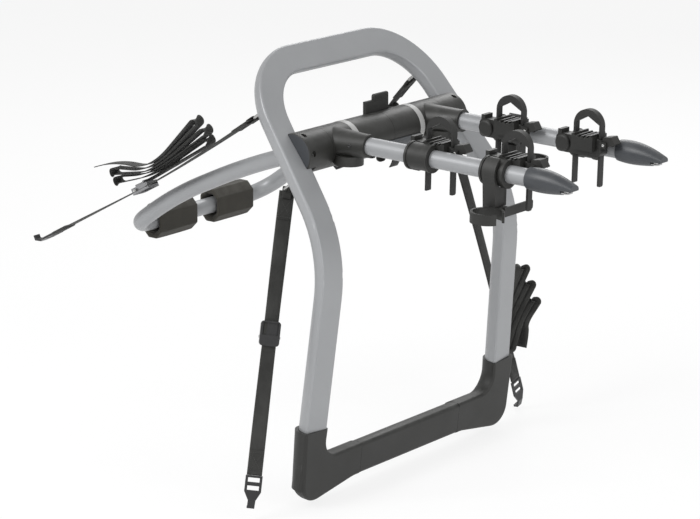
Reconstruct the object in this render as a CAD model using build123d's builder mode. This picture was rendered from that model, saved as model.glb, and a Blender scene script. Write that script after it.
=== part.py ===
from build123d import *
from math import atan2, cos, degrees, pi, radians, sin, sqrt, tan

# Trunk mounted rack for two bikes. Origin: middle of the flat rear face of the
# lower crossbar, which rests on the vehicle. +X runs along the hub, -Y points
# to the bikes, +Y to the vehicle and +Z up. Lengths are millimetres.

# Shared fits
overrun = 40.0
running_fit = 0.05
fit_gap = 0.15
soft_gap = 0.3
seam_gap = 0.4
no_length = 0.0
wedge_steps = 8

# Main hoop
tube_width = 49.0
tube_depth = 31.8
tube_wall = 2.0
tube_front_radius = 4.0
upper_lean = 37.4
lower_lean = 5.83
upper_flare = 6.6
lower_flare = 3.13
lower_run = 383.6
knee_to_hub = 174.4
hub_setback = 9.9
hub_half_spread = 219.0
top_reach = 158.6
corner_radius = 113.0
knee_radius = 220.0
leg_tail = 20.0

# Lower crossbar covers
cover_wall = 2.7
rest_height = 26.0
sleeve_half_length = 135.0
cover_front_radius = 5.0
cover_back_radius = 24.0
boot_swell_start = 150.0
boot_lobe_place = 243.0
boot_lobe_drop = 42.5
boot_outer_place = 286.0
boot_outer_foot = 281.0
boot_top = 80.0
boot_corner_radius = 34.0
boot_lobe_radius = 25.0
boot_swell_radius = 90.0
boot_inner_radius = 30.0

# Hub
hub_radius = 34.3
hub_shell_wall = 3.0
hub_tube_radius = 19.0
hub_tube_wall = 3.0
hub_tube_half_length = 197.0
socket_inner_place = 92.0
socket_outer_place = 151.0
cap_outer_place = 212.0
cap_end_wall = 4.0
knuckle_inner_place = 157.0
knuckle_width = 31.0
knuckle_radius = 30.0
knuckle_gap = 1.5
cap_screw_place = 201.0
cap_screw_half_spacing = 17.0
screw_shank_radius = 2.5
screw_head_radius = 4.25
screw_head_height = 5.0
screw_key_radius = 2.2
screw_key_depth = 2.5
screw_bury = 9.5
screw_bite = 6.0
screw_clearance = 0.3
barrel_seam_place = 9.5
band_width = 12.0
band_proud = 0.6
band_depth = 1.4
skirt_wall = 1.8
skirt_start_angle = 193.0
skirt_end_angle = 262.0
skirt_tab_width = 22.0
skirt_tab_height = 6.0
skirt_tab_reach = 3.0

# Release lever and its lock pins
lever_place = 15.0
lever_width = 62.0
lever_step_width = 41.0
lever_thickness = 6.0
lever_angle = 71.0
lever_low_height = 22.0
lever_high_height = 34.0
lever_root_radius = 4.5
lever_root_depth = 3.6
lever_edge_radius = 2.2
lock_pin_radius = 4.0
lock_pin_orbit = 26.0
lock_pin_length = 42.0
lock_pin_bite = 6.0
lock_pin_angle = 150.0
spring_radius = 5.6
spring_wire = 1.2
spring_turns = 5
spring_pitch = 1.8
spring_place = 32.0
spring_angle = 120.0

# Pad hoop
pad_tube_radius = 14.0
pad_tube_wall = 1.8
pad_arm_place = 172.5
pad_start_reach = 22.0
pad_bend_places = ((130.0, -42.5), (290.0, -116.0), (391.0, -187.0))
pad_bend_radii = (1400.0, 700.0, 44.0)
pad_drain_radius = 2.5
pad_swing_up = 30.0
pad_swing_down = 50.0
pad_swing_spare = 2.0
pad_centre = 75.0
foam_length = 97.0
foam_deep = 44.0
foam_tall = 60.0
foam_chamfer = 13.0

# Bike arms
arm_place = 126.3
arm_rise = 13.4
arm_droop = 1.34
arm_radius = 14.3
arm_wall = 1.6
arm_start = 42.0
arm_end = 405.0
socket_mouth = 88.0
socket_mouth_radius = 18.3
socket_root = 8.0
socket_root_radius = 28.5
socket_root_inward = 4.7
socket_root_drop = 9.0
socket_lip = 4.0
socket_lip_proud = 0.8
disc_radius = 24.0
disc_place = 46.0
disc_drop = 36.0
disc_height = 16.0
cap_start = 399.0
cap_start_radius = 17.2
cap_widest = 411.0
cap_widest_radius = 18.6
cap_waist = 446.0
cap_waist_radius = 16.6
cap_waist_drop = 1.2
cap_tip = 482.0
cap_tip_half_width = 11.0
cap_tip_half_height = 7.2
cap_tip_drop = 4.8
jaw_start = 463.0
jaw_drop = 7.0
opener_start = 451.0
opener_end = 475.0
opener_half_width = 9.0
opener_thickness = 2.0
opener_drop = 11.4
opener_hole_radius = 5.0
opener_hole_place = 468.0

# Cradles
cradle_near_places = (212.0, 358.0)
cradle_far_places = (202.0, 354.0)
collar_radius = 21.5
collar_flange_radius = 23.0
collar_flange_width = 4.0
collar_back = 40.0
collar_front = 4.0
clamp_boss_width = 13.0
clamp_boss_drop = 22.0
arch_inboard = 24.0
arch_width = 12.0
arch_half_span = 26.3
arch_leg = 3.8
arch_top = 64.6
arch_apex = 53.8
arch_shoulder = 41.5
arch_tail = 59.4
arch_slot_gap = 0.3
housing_back = 56.0
housing_front = 30.0
housing_low = 10.0
housing_high = 20.0
housing_half_width = 11.0
housing_end_radius = 9.0
lobe_radius = 14.0
lobe_proud = 5.0
saddle_half_width = 21.0
saddle_half_length = 20.0
saddle_high = 25.0
saddle_dip = 4.0
rib_height = 3.0
rib_width = 3.0
rib_count = 5
back_tab_length = 7.0
back_tab_height = 6.5
lever_pin_radius = 3.0
strap_lever_pivot = 35.0
strap_lever_level = 12.0
strap_lever_end = 56.0
strap_lever_top = 27.0
strap_lever_flat_end = 48.0
strap_lever_half_width = 9.0
strap_lever_rim = 5.0
lever_ear_width = 3.0

# Anti-sway cradles
sway_collar_wall = 4.5
sway_back = 30.0
sway_front = 6.0
sway_ring_back = 4.0
sway_wrap_start = 118.0
sway_wrap_end = 262.0
sway_ring_outboard = 46.0
sway_ring_drop = 60.0
sway_ring_radius = 27.0
sway_ring_wall = 4.0
sway_ring_height = 17.0
sway_ring_gap = 46.0
sway_bar_width = 22.0
sway_bracket_reach = 20.0
sway_bracket_thickness = 8.0
sway_strap_thickness = 3.0
sway_strap_height = 15.0
sway_strap_length = 76.0

# Straps
webbing_width = 25.0
webbing_thickness = 1.6
ring_wire_radius = 2.2
ring_inner_half_width = 8.0
ring_stand = 13.4
ring_weld_length = 10.0
ring_bend_radius = 6.4
ring_slant_share = 0.45
top_ring_place = 88.0
low_ring_place = -41.0
buckle_width = 32.0
buckle_length = 40.0
buckle_height = 11.0
buckle_wall = 2.6
hook_width = 27.0
hook_tip_width = 12.0
hook_thickness = 3.6
hook_plate = 40.0
hook_shoulder = 26.0
hook_curl = 13.0
hook_rise = 4.3
hook_slot_length = 19.0
hook_slot_height = 7.0
bundle_pitch = 2.3
fold_share = 0.85
mark_steps = 12

# Frame directions and places worked out from the values above
side_axis = Vector(1, 0, 0)
low_up = Vector(0, -sin(radians(lower_lean)), cos(radians(lower_lean)))
low_front = Vector(0, -cos(radians(lower_lean)), -sin(radians(lower_lean)))
high_up = Vector(0, sin(radians(upper_lean)), cos(radians(upper_lean)))
high_front = Vector(0, -cos(radians(upper_lean)), sin(radians(upper_lean)))
low_origin = low_front * (tube_depth + cover_wall)
knee_point = low_origin + low_up * lower_run
hub_point = knee_point + high_up * knee_to_hub - high_front * hub_setback
low_plane = Plane(origin=low_origin, x_dir=side_axis, z_dir=low_front)
high_plane = Plane(origin=hub_point + high_front * hub_setback, x_dir=side_axis, z_dir=high_front)
top_corner_place = hub_half_spread - top_reach * tan(radians(upper_flare))
knee_place = hub_half_spread + knee_to_hub * tan(radians(upper_flare))
foot_place = knee_place + lower_run * tan(radians(lower_flare))
arm_axis = Vector(0, -cos(radians(arm_droop)), -sin(radians(arm_droop)))
arm_origin = hub_point + Vector(arm_place, 0, arm_rise)
print("hub axis at", hub_point)


def hub_plane(place, shift_y=0, shift_z=0):
    """Plane across the hub at X = place: its x is +Y and its y is +Z."""
    origin = hub_point + Vector(place, shift_y, shift_z)
    return Plane(origin=origin, x_dir=(0, 1, 0), z_dir=(1, 0, 0))


def arm_plane(reach, outboard=0, rise=0):
    """Plane across the right arm at a reach from the hub: x outboard, y up."""
    across = Plane(origin=arm_origin + arm_axis * reach, x_dir=side_axis, z_dir=arm_axis)
    return Plane(origin=across.from_local_coords((outboard, rise, 0)), x_dir=side_axis, z_dir=arm_axis)


def arm_side_plane(reach, outboard, rise=0):
    """Plane along the right arm: its x runs out along the arm and its y is up."""
    across = arm_plane(reach, outboard, rise)
    return Plane(origin=across.origin, x_dir=arm_axis, z_dir=-side_axis)


def arm_top_plane(reach, outboard, rise):
    """Plane level with the right arm: its x is outboard and its y runs to the vehicle."""
    across = arm_plane(reach, outboard, rise)
    return Plane(origin=across.origin, x_dir=side_axis, z_dir=across.y_dir)


def write(piece, name):
    """Labels one finished piece and writes it."""
    piece.part.label = name
    export_step(piece.part, f"parts/{name}.step")


def write_pair(piece, name):
    """Writes the right piece and its mirror image on the left."""
    write(piece, f"{name}_right")
    with BuildPart() as twin:
        add(mirror(piece.part, about=Plane.YZ))
    write(twin, f"{name}_left")


def d_section(plane, grow):
    """The hoop's section: flat front on the plane's x axis, round back."""
    half = tube_width / 2
    side = tube_depth - half
    with BuildSketch(plane) as section:
        with BuildLine():
            Polyline((-half, -side), (-half, 0), (half, 0), (half, -side))
            ThreePointArc((half, -side), (0, -tube_depth), (-half, -side))
        make_face()
        fillet(section.vertices().group_by(Axis.Y)[-1], radius=tube_front_radius)
        if grow:
            offset(amount=grow, mode=Mode.REPLACE)
    return section.sketch


def hoop_solid(grow, tail):
    """The hoop's tube swept down one side and mirrored, grown by a gap or by less than nothing."""
    start = high_plane.from_local_coords((0, top_reach, 0))
    with BuildLine() as route:
        FilletPolyline(
            start,
            high_plane.from_local_coords((top_corner_place, top_reach, 0)),
            low_plane.from_local_coords((knee_place, lower_run, 0)),
            low_plane.from_local_coords((foot_place + tail * tan(radians(lower_flare)), -tail, 0)),
            radius=[corner_radius, knee_radius],
        )
    with BuildPart() as tube:
        sweep(sections=d_section(Plane(origin=start, x_dir=high_up, z_dir=side_axis), grow), path=route.wires()[0])
        mirror(about=Plane.YZ)
    return tube.part


def crossbar_solid(grow, half_length):
    """The crossbar's tube between the hoop's feet."""
    start = low_plane.from_local_coords((-half_length, 0, 0))
    with BuildPart() as tube:
        extrude(d_section(Plane(origin=start, x_dir=low_up, z_dir=side_axis), grow), amount=2 * half_length)
    return tube.part


def screw_places():
    """Places of the hub cap screws on the hoop's front face."""
    return [(cap_screw_place, cap_screw_half_spacing), (cap_screw_place, -cap_screw_half_spacing)]


hoop_outer = hoop_solid(no_length, leg_tail)
hoop_clear = hoop_solid(fit_gap, leg_tail)

# Main hoop: one bent tube, drilled for the hub cap screws
with BuildPart() as main_hoop:
    add(hoop_outer)
    add(hoop_solid(-tube_wall, leg_tail + overrun), mode=Mode.SUBTRACT)
    with BuildSketch(high_plane):
        with Locations(*screw_places()):
            Circle(screw_shank_radius + screw_clearance)
        mirror(about=Plane.YZ)
    extrude(amount=-hub_shell_wall, mode=Mode.SUBTRACT)
write(main_hoop, "main_hoop")

# Crossbar tube, coped and welded to the legs
with BuildPart() as crossbar_blank:
    add(crossbar_solid(no_length, foot_place))
    add(crossbar_solid(-tube_wall, foot_place + overrun), mode=Mode.SUBTRACT)
    add(hoop_outer, mode=Mode.SUBTRACT)
    add(hoop_solid(-tube_wall, leg_tail + overrun), mode=Mode.SUBTRACT)
with BuildPart() as crossbar_tube:
    add(crossbar_blank.solids().sort_by(SortBy.VOLUME)[-1])
write(crossbar_tube, "crossbar_tube")

# Middle sleeve over the crossbar; its rear face is the rest
sleeve_plane = Plane(
    origin=low_plane.from_local_coords((seam_gap / 2 - sleeve_half_length, 0, 0)), x_dir=low_up, z_dir=side_axis
)
with BuildPart() as crossbar_sleeve:
    extrude(d_section(sleeve_plane, cover_wall), amount=2 * sleeve_half_length - seam_gap)
    with BuildSketch(sleeve_plane):
        with Locations((0, -tube_depth - cover_wall)):
            Rectangle(rest_height, tube_depth, align=(Align.CENTER, Align.MIN))
    extrude(amount=2 * sleeve_half_length - seam_gap)
    add(crossbar_solid(fit_gap, foot_place), mode=Mode.SUBTRACT)
write(crossbar_sleeve, "crossbar_sleeve")

# Boot over the foot of one leg and its end of the crossbar
boot_half_width = tube_width / 2 + cover_wall
boot_neck_place = foot_place - boot_top * tan(radians(lower_flare))
boot_tilt = radians(lower_flare)
boot_points = (
    (sleeve_half_length + seam_gap / 2, -boot_half_width),
    (boot_swell_start, -boot_half_width),
    (boot_lobe_place, -boot_lobe_drop),
    (boot_outer_foot, -boot_lobe_drop),
    (boot_outer_place, boot_top + boot_half_width * sin(boot_tilt)),
    (boot_neck_place - boot_half_width, boot_top - boot_half_width * sin(boot_tilt)),
    (foot_place - boot_half_width, boot_half_width),
    (sleeve_half_length + seam_gap / 2, boot_half_width),
)
with BuildPart() as boot:
    with BuildSketch(low_plane.offset(cover_wall)):
        with BuildLine():
            FilletPolyline(
                *boot_points,
                close=True,
                radius=[
                    no_length, boot_swell_radius, boot_lobe_radius, boot_corner_radius,
                    no_length, no_length, boot_inner_radius, no_length,
                ],
            )
        make_face()
    extrude(amount=-tube_depth - 2 * cover_wall)
    boot_rims = boot.faces().sort_by(Axis((0, 0, 0), low_front))
    for rim, round_radius in ((boot_rims[-1], cover_front_radius), (boot_rims[0], cover_back_radius)):
        rim_edges = [
            edge
            for edge in rim.outer_wire().edges()
            if low_plane.to_local_coords(edge.center()).Y < boot_top - boot_half_width / 2
            and edge.center().X > sleeve_half_length + seam_gap
            or edge.center().X > foot_place + tube_width / 2 - cover_wall
        ]
        fillet(rim_edges, radius=round_radius)
    add(hoop_clear, mode=Mode.SUBTRACT)
    add(crossbar_solid(fit_gap, foot_place), mode=Mode.SUBTRACT)
write_pair(boot, "boot")

# Hub tube, coped against the legs
with BuildPart() as hub_tube:
    with BuildSketch(hub_plane(-hub_tube_half_length)):
        Circle(hub_tube_radius)
        Circle(hub_tube_radius - hub_tube_wall, mode=Mode.SUBTRACT)
    extrude(amount=2 * hub_tube_half_length)
    add(hoop_outer, mode=Mode.SUBTRACT)
write(hub_tube, "hub_tube")


def hub_wedge(start_angle, end_angle, reach):
    """Points of a wedge about the hub axis, angles from +Y towards +Z."""
    turn = (end_angle - start_angle) / wedge_steps
    angles = [radians(start_angle + turn * step) for step in range(wedge_steps + 1)]
    return [(0, 0)] + [(reach * cos(a), reach * sin(a)) for a in angles]


# Hub cap: a shell round the pad hoop's eye, cut to sit against the leg
pad_rest_angle = degrees(atan2(pad_bend_places[0][1], pad_bend_places[0][0]))
pad_half_angle = degrees(pad_tube_radius / (hub_radius - hub_shell_wall)) + pad_swing_spare
cap_open_start = pad_rest_angle - pad_swing_down - pad_half_angle
cap_open_end = pad_rest_angle + pad_swing_up + pad_half_angle
cap_inner_place = socket_outer_place + seam_gap
cap_cavity_end = knuckle_inner_place + knuckle_width + knuckle_gap
hub_bore_radius = hub_tube_radius + running_fit
with BuildPart() as hub_cap:
    with BuildSketch(hub_plane(cap_inner_place)):
        Circle(hub_radius)
    extrude(amount=cap_outer_place - cap_inner_place)
    chamfer(hub_cap.edges().sort_by(Axis.X)[-1], length=hub_shell_wall / 2)
    with BuildSketch(hub_plane(cap_inner_place + cap_end_wall)):
        Circle(hub_radius - hub_shell_wall)
    extrude(amount=cap_cavity_end - cap_inner_place - cap_end_wall, mode=Mode.SUBTRACT)
    with BuildSketch(hub_plane(cap_inner_place + cap_end_wall)):
        Polygon(*hub_wedge(cap_open_start, cap_open_end, hub_radius + overrun), align=None)
    extrude(amount=cap_cavity_end - cap_inner_place - cap_end_wall, mode=Mode.SUBTRACT)
    with BuildSketch(hub_plane(cap_inner_place - overrun)):
        Circle(hub_bore_radius)
    extrude(amount=hub_tube_half_length + overrun - cap_inner_place + fit_gap, mode=Mode.SUBTRACT)
    with BuildSketch(high_plane.offset(fit_gap)):
        with Locations((cap_cavity_end - fit_gap, 0)):
            Rectangle(overrun, 2 * hub_radius + overrun, align=(Align.MIN, Align.CENTER))
    extrude(amount=-2 * hub_radius - overrun, mode=Mode.SUBTRACT)
    add(hoop_clear, mode=Mode.SUBTRACT)
    with BuildSketch(high_plane.offset(screw_bury)):
        with Locations(*screw_places()):
            Circle(screw_head_radius + screw_clearance)
    extrude(amount=hub_radius + overrun, mode=Mode.SUBTRACT)
    with BuildSketch(high_plane):
        with Locations(*screw_places()):
            Circle(screw_shank_radius + screw_clearance)
    extrude(amount=hub_radius, mode=Mode.SUBTRACT)
write_pair(hub_cap, "hub_cap")

# Socket head screws of both hub caps
with BuildPart() as cap_screws:
    with BuildSketch(high_plane.offset(screw_bury)):
        with Locations(*screw_places()):
            Circle(screw_head_radius)
        mirror(about=Plane.YZ)
    extrude(amount=screw_head_height)
    with BuildSketch(high_plane.offset(screw_bury)):
        with Locations(*screw_places()):
            Circle(screw_shank_radius)
        mirror(about=Plane.YZ)
    extrude(amount=-screw_bury - screw_bite)
    with BuildSketch(high_plane.offset(screw_bury + screw_head_height)):
        with Locations(*screw_places()):
            RegularPolygon(screw_key_radius, 6)
        mirror(about=Plane.YZ)
    extrude(amount=-screw_key_depth, mode=Mode.SUBTRACT)
write(cap_screws, "cap_screws")

# Barrels: the hollow middle of the hub, split at one seam
lever_point = (
    (hub_radius - lever_root_depth) * cos(radians(lever_angle)),
    (hub_radius - lever_root_depth) * sin(radians(lever_angle)),
)
lock_point = (lock_pin_orbit * cos(radians(lock_pin_angle)), lock_pin_orbit * sin(radians(lock_pin_angle)))
barrel_end = socket_inner_place - seam_gap
shoulder_end = barrel_end - band_width
band_seat_radius = hub_radius - band_depth


def barrel(start, end, shoulder, wall_place):
    """One barrel from its seam to its socket, its shoulder a seat for the band."""
    turn = 1 if end > start else -1
    with BuildPart() as shell:
        with BuildSketch(hub_plane(start)):
            Circle(hub_radius)
        extrude(amount=shoulder - start)
        with BuildSketch(hub_plane(shoulder)):
            Circle(band_seat_radius)
        extrude(amount=end - shoulder)
        with BuildSketch(hub_plane(start + turn * wall_place)):
            Circle(hub_radius - hub_shell_wall)
        extrude(amount=end - start - 2 * turn * wall_place, mode=Mode.SUBTRACT)
        with BuildSketch(hub_plane(start - turn * overrun)):
            Circle(hub_bore_radius)
        extrude(amount=end - start + 2 * turn * overrun, mode=Mode.SUBTRACT)
        with BuildSketch(hub_plane(start, *lock_point)):
            Circle(lock_pin_radius + fit_gap)
        extrude(amount=end - start + turn * overrun, mode=Mode.SUBTRACT)
        with BuildSketch(hub_plane(lever_place - lever_width / 2 - fit_gap, *lever_point)):
            Circle(lever_root_radius + fit_gap)
        extrude(amount=lever_width + 2 * fit_gap, mode=Mode.SUBTRACT)
        with BuildSketch(hub_plane(lever_place - lever_width / 2 - fit_gap, *lever_point)):
            Rectangle(2 * lever_root_radius, hub_radius, align=(Align.CENTER, Align.MIN))
        extrude(amount=lever_width + 2 * fit_gap, mode=Mode.SUBTRACT)
    return shell


barrel_right = barrel(barrel_seam_place + seam_gap / 2, barrel_end, shoulder_end, hub_shell_wall)
barrel_left = barrel(barrel_seam_place - seam_gap / 2, -barrel_end, -shoulder_end, hub_shell_wall)
write(barrel_right, "barrel_right")
write(barrel_left, "barrel_left")

# Pale bands round the barrels' shoulders
with BuildPart() as ring_bands:
    with BuildSketch(hub_plane(shoulder_end + fit_gap)):
        Circle(hub_radius + band_proud)
        Circle(band_seat_radius + running_fit, mode=Mode.SUBTRACT)
    extrude(amount=band_width - fit_gap)
    fillet(ring_bands.edges().filter_by(GeomType.CIRCLE).sort_by(SortBy.RADIUS)[-2:], radius=band_proud)
    mirror(about=Plane.YZ)
write(ring_bands, "ring_bands")

# Skirt under the front of the barrels, with the tab at the seam
with BuildPart() as hub_skirt:
    with BuildSketch(hub_plane(fit_gap - shoulder_end)) as skirt_outline:
        Circle(hub_radius + running_fit + skirt_wall)
        Circle(hub_radius + running_fit, mode=Mode.SUBTRACT)
        Polygon(*hub_wedge(skirt_start_angle, skirt_end_angle, hub_radius + overrun), align=None, mode=Mode.INTERSECT)
    extrude(amount=2 * shoulder_end - 2 * fit_gap)
    tab_angle = radians(skirt_start_angle + degrees(skirt_tab_height / hub_radius))
    tab_point = (hub_radius * cos(tab_angle), hub_radius * sin(tab_angle))
    with BuildSketch(hub_plane(barrel_seam_place - skirt_tab_width / 2, *tab_point)):
        Rectangle(2 * skirt_tab_reach, skirt_tab_height)
    extrude(amount=skirt_tab_width)
    with BuildSketch(hub_plane(-shoulder_end)):
        Circle(hub_radius + running_fit)
    extrude(amount=2 * shoulder_end, mode=Mode.SUBTRACT)
write(hub_skirt, "hub_skirt")

# Release lever: a stepped paddle on a round root
with BuildPart() as release_lever:
    with BuildSketch(hub_plane(lever_place - lever_width / 2, *lever_point)):
        Circle(lever_root_radius)
        with Locations((0, lever_root_radius / 2)):
            Rectangle(lever_thickness, lever_low_height, align=(Align.CENTER, Align.MIN))
    extrude(amount=lever_width)
    with BuildSketch(hub_plane(lever_place + lever_width / 2 - lever_step_width, *lever_point)):
        Rectangle(lever_thickness, lever_high_height, align=(Align.CENTER, Align.MIN))
    extrude(amount=lever_step_width)
    fillet(release_lever.edges().filter_by(Axis.Y).group_by(Axis.Z)[-1], radius=lever_edge_radius * 2)
    fillet(release_lever.edges().filter_by(Axis.X).group_by(Axis.Z)[-1], radius=lever_edge_radius)
write(release_lever, "release_lever")

# Lock pins, which the lever draws out of the arm sockets
with BuildPart() as lock_pin:
    with BuildSketch(hub_plane(socket_inner_place + lock_pin_bite - lock_pin_length, *lock_point)):
        Circle(lock_pin_radius)
    extrude(amount=lock_pin_length)
    chamfer(lock_pin.edges().sort_by(Axis.X)[-1], length=lock_pin_radius / 4)
write_pair(lock_pin, "lock_pin")

# Return spring of the lever, wound inside the barrel
spring_length = spring_turns * spring_pitch
spring_orbit = (hub_tube_radius + hub_radius - hub_shell_wall) / 2
spring_point = (spring_orbit * cos(radians(spring_angle)), spring_orbit * sin(radians(spring_angle)))
with BuildPart() as lever_spring:
    with BuildSketch(hub_plane(spring_place, *spring_point)):
        Circle(spring_radius)
        Circle(spring_radius - spring_wire, mode=Mode.SUBTRACT)
    extrude(amount=spring_length)
write(lever_spring, "lever_spring")


def pad_place(place, point):
    """A point of the pad hoop's line at X = place."""
    return hub_point + Vector(place, point[0], point[1])


# Pad hoop: one bent tube with an eye welded on each end
pad_start_angle = radians(pad_rest_angle)
pad_start = (pad_start_reach * cos(pad_start_angle), pad_start_reach * sin(pad_start_angle))
pad_side_points = [pad_start, *pad_bend_places]
with BuildLine() as pad_route:
    FilletPolyline(
        *[pad_place(pad_arm_place, point) for point in pad_side_points],
        *[pad_place(-pad_arm_place, point) for point in reversed(pad_side_points)],
        radius=[*pad_bend_radii, *reversed(pad_bend_radii)],
    )
pad_section_plane = Plane(
    origin=pad_place(pad_arm_place, pad_start), x_dir=side_axis,
    z_dir=Vector(0, cos(pad_start_angle), sin(pad_start_angle)),
)
with BuildPart() as pad_hoop:
    with BuildSketch(pad_section_plane):
        Circle(pad_tube_radius)
        Circle(pad_tube_radius - pad_tube_wall, mode=Mode.SUBTRACT)
    sweep(path=pad_route.wires()[0])
    for eye_place in (knuckle_inner_place, -knuckle_inner_place - knuckle_width):
        with BuildSketch(hub_plane(eye_place)):
            Circle(knuckle_radius)
        extrude(amount=knuckle_width)
        with BuildSketch(hub_plane(eye_place)):
            Circle(hub_bore_radius)
        extrude(amount=knuckle_width, mode=Mode.SUBTRACT)
    with BuildSketch(Plane.XY.offset(pad_place(0, pad_bend_places[-1]).Z)):
        with Locations((0, pad_place(0, pad_bend_places[-1]).Y)):
            Circle(pad_drain_radius)
    extrude(amount=-overrun, mode=Mode.SUBTRACT)
write(pad_hoop, "pad_hoop")


def foam_pad(centre):
    """A faceted foam block on the pad hoop's cross tube."""
    place = hub_plane(centre - foam_length / 2, *pad_bend_places[-1])
    with BuildPart() as foam:
        with BuildSketch(place) as outline:
            Rectangle(foam_deep, foam_tall)
            chamfer(outline.vertices(), length=foam_chamfer)
            Circle(pad_tube_radius + soft_gap, mode=Mode.SUBTRACT)
        extrude(amount=foam_length)
    return foam


write(foam_pad(-pad_centre), "foam_pad_left")
write(foam_pad(pad_centre), "foam_pad_right")

# Arm socket: a ring on the hub tube with a tapered boss for the arm
socket_width = socket_outer_place - socket_inner_place
with BuildPart() as arm_socket:
    with BuildSketch(hub_plane(socket_inner_place)):
        Circle(hub_radius)
    extrude(amount=socket_width)
    with BuildSketch(arm_plane(socket_root, -socket_root_inward, -socket_root_drop)):
        Circle(socket_root_radius)
    with BuildSketch(arm_plane(socket_mouth)):
        Circle(socket_mouth_radius)
    loft()
    with BuildSketch(arm_plane(socket_mouth)):
        Circle(socket_mouth_radius + socket_lip_proud)
    extrude(amount=-socket_lip)
    with BuildSketch(arm_top_plane(disc_place, 0, -disc_drop)):
        Circle(disc_radius)
    extrude(amount=disc_height)
    with BuildSketch(hub_plane(socket_inner_place)):
        Circle(hub_bore_radius)
    extrude(amount=socket_width, mode=Mode.SUBTRACT)
    with BuildSketch(arm_plane(arm_start)):
        Circle(arm_radius + running_fit)
    extrude(amount=socket_mouth - arm_start + overrun, mode=Mode.SUBTRACT)
    with BuildSketch(hub_plane(socket_inner_place)):
        Circle(lock_pin_orbit + lock_pin_radius + fit_gap)
        Circle(lock_pin_orbit - lock_pin_radius - fit_gap, mode=Mode.SUBTRACT)
    extrude(amount=lock_pin_bite + fit_gap, mode=Mode.SUBTRACT)
write_pair(arm_socket, "arm_socket")

# Arm tube
with BuildPart() as arm_tube:
    with BuildSketch(arm_plane(arm_start)):
        Circle(arm_radius)
        Circle(arm_radius - arm_wall, mode=Mode.SUBTRACT)
    extrude(amount=arm_end - arm_start)
write_pair(arm_tube, "arm_tube")

# End cap: a swollen sleeve that thins to a flat nose, with a jaw under it
opener_width = 2 * opener_half_width
with BuildPart() as arm_end_cap:
    with BuildSketch(arm_plane(cap_start)):
        Circle(cap_start_radius)
    with BuildSketch(arm_plane(cap_widest)):
        Circle(cap_widest_radius)
    with BuildSketch(arm_plane(cap_waist, 0, -cap_waist_drop)):
        Circle(cap_waist_radius)
    with BuildSketch(arm_plane(cap_tip, 0, -cap_tip_drop)):
        Ellipse(cap_tip_half_width, cap_tip_half_height)
    loft()
    with BuildSketch(arm_plane(cap_start - overrun)):
        Circle(arm_radius + running_fit)
    extrude(amount=arm_end + overrun - cap_start + fit_gap, mode=Mode.SUBTRACT)
    with BuildSketch(arm_plane(jaw_start, 0, -jaw_drop)):
        Rectangle(2 * cap_widest_radius, cap_widest_radius, align=(Align.CENTER, Align.MAX))
    extrude(amount=cap_tip + overrun - jaw_start, mode=Mode.SUBTRACT)
    with BuildSketch(arm_plane(opener_start - fit_gap, 0, -opener_drop)):
        Rectangle(opener_width + 2 * fit_gap, opener_thickness + 2 * running_fit)
    extrude(amount=jaw_start + overrun - opener_start, mode=Mode.SUBTRACT)
write_pair(arm_end_cap, "arm_end_cap")

# Steel opener plate set in the end cap's jaw
with BuildPart() as bottle_opener:
    with BuildSketch(arm_plane(opener_start, 0, -opener_drop)):
        Rectangle(opener_width, opener_thickness)
    extrude(amount=opener_end - opener_start)
    opener_corners = bottle_opener.edges().filter_by(Axis((0, 0, 0), arm_plane(0).y_dir)).sort_by(Axis.Y)[:2]
    fillet(opener_corners, radius=opener_half_width / 2)
    with BuildSketch(arm_top_plane(opener_hole_place, 0, -opener_drop)):
        Circle(opener_hole_radius)
    extrude(amount=opener_thickness, both=True, mode=Mode.SUBTRACT)
write_pair(bottle_opener, "bottle_opener")


def slot_places():
    """Places of the strap's two legs along the arm."""
    middle = arch_half_span - arch_leg / 2
    return [(-middle, 0), (middle, 0)]


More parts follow.
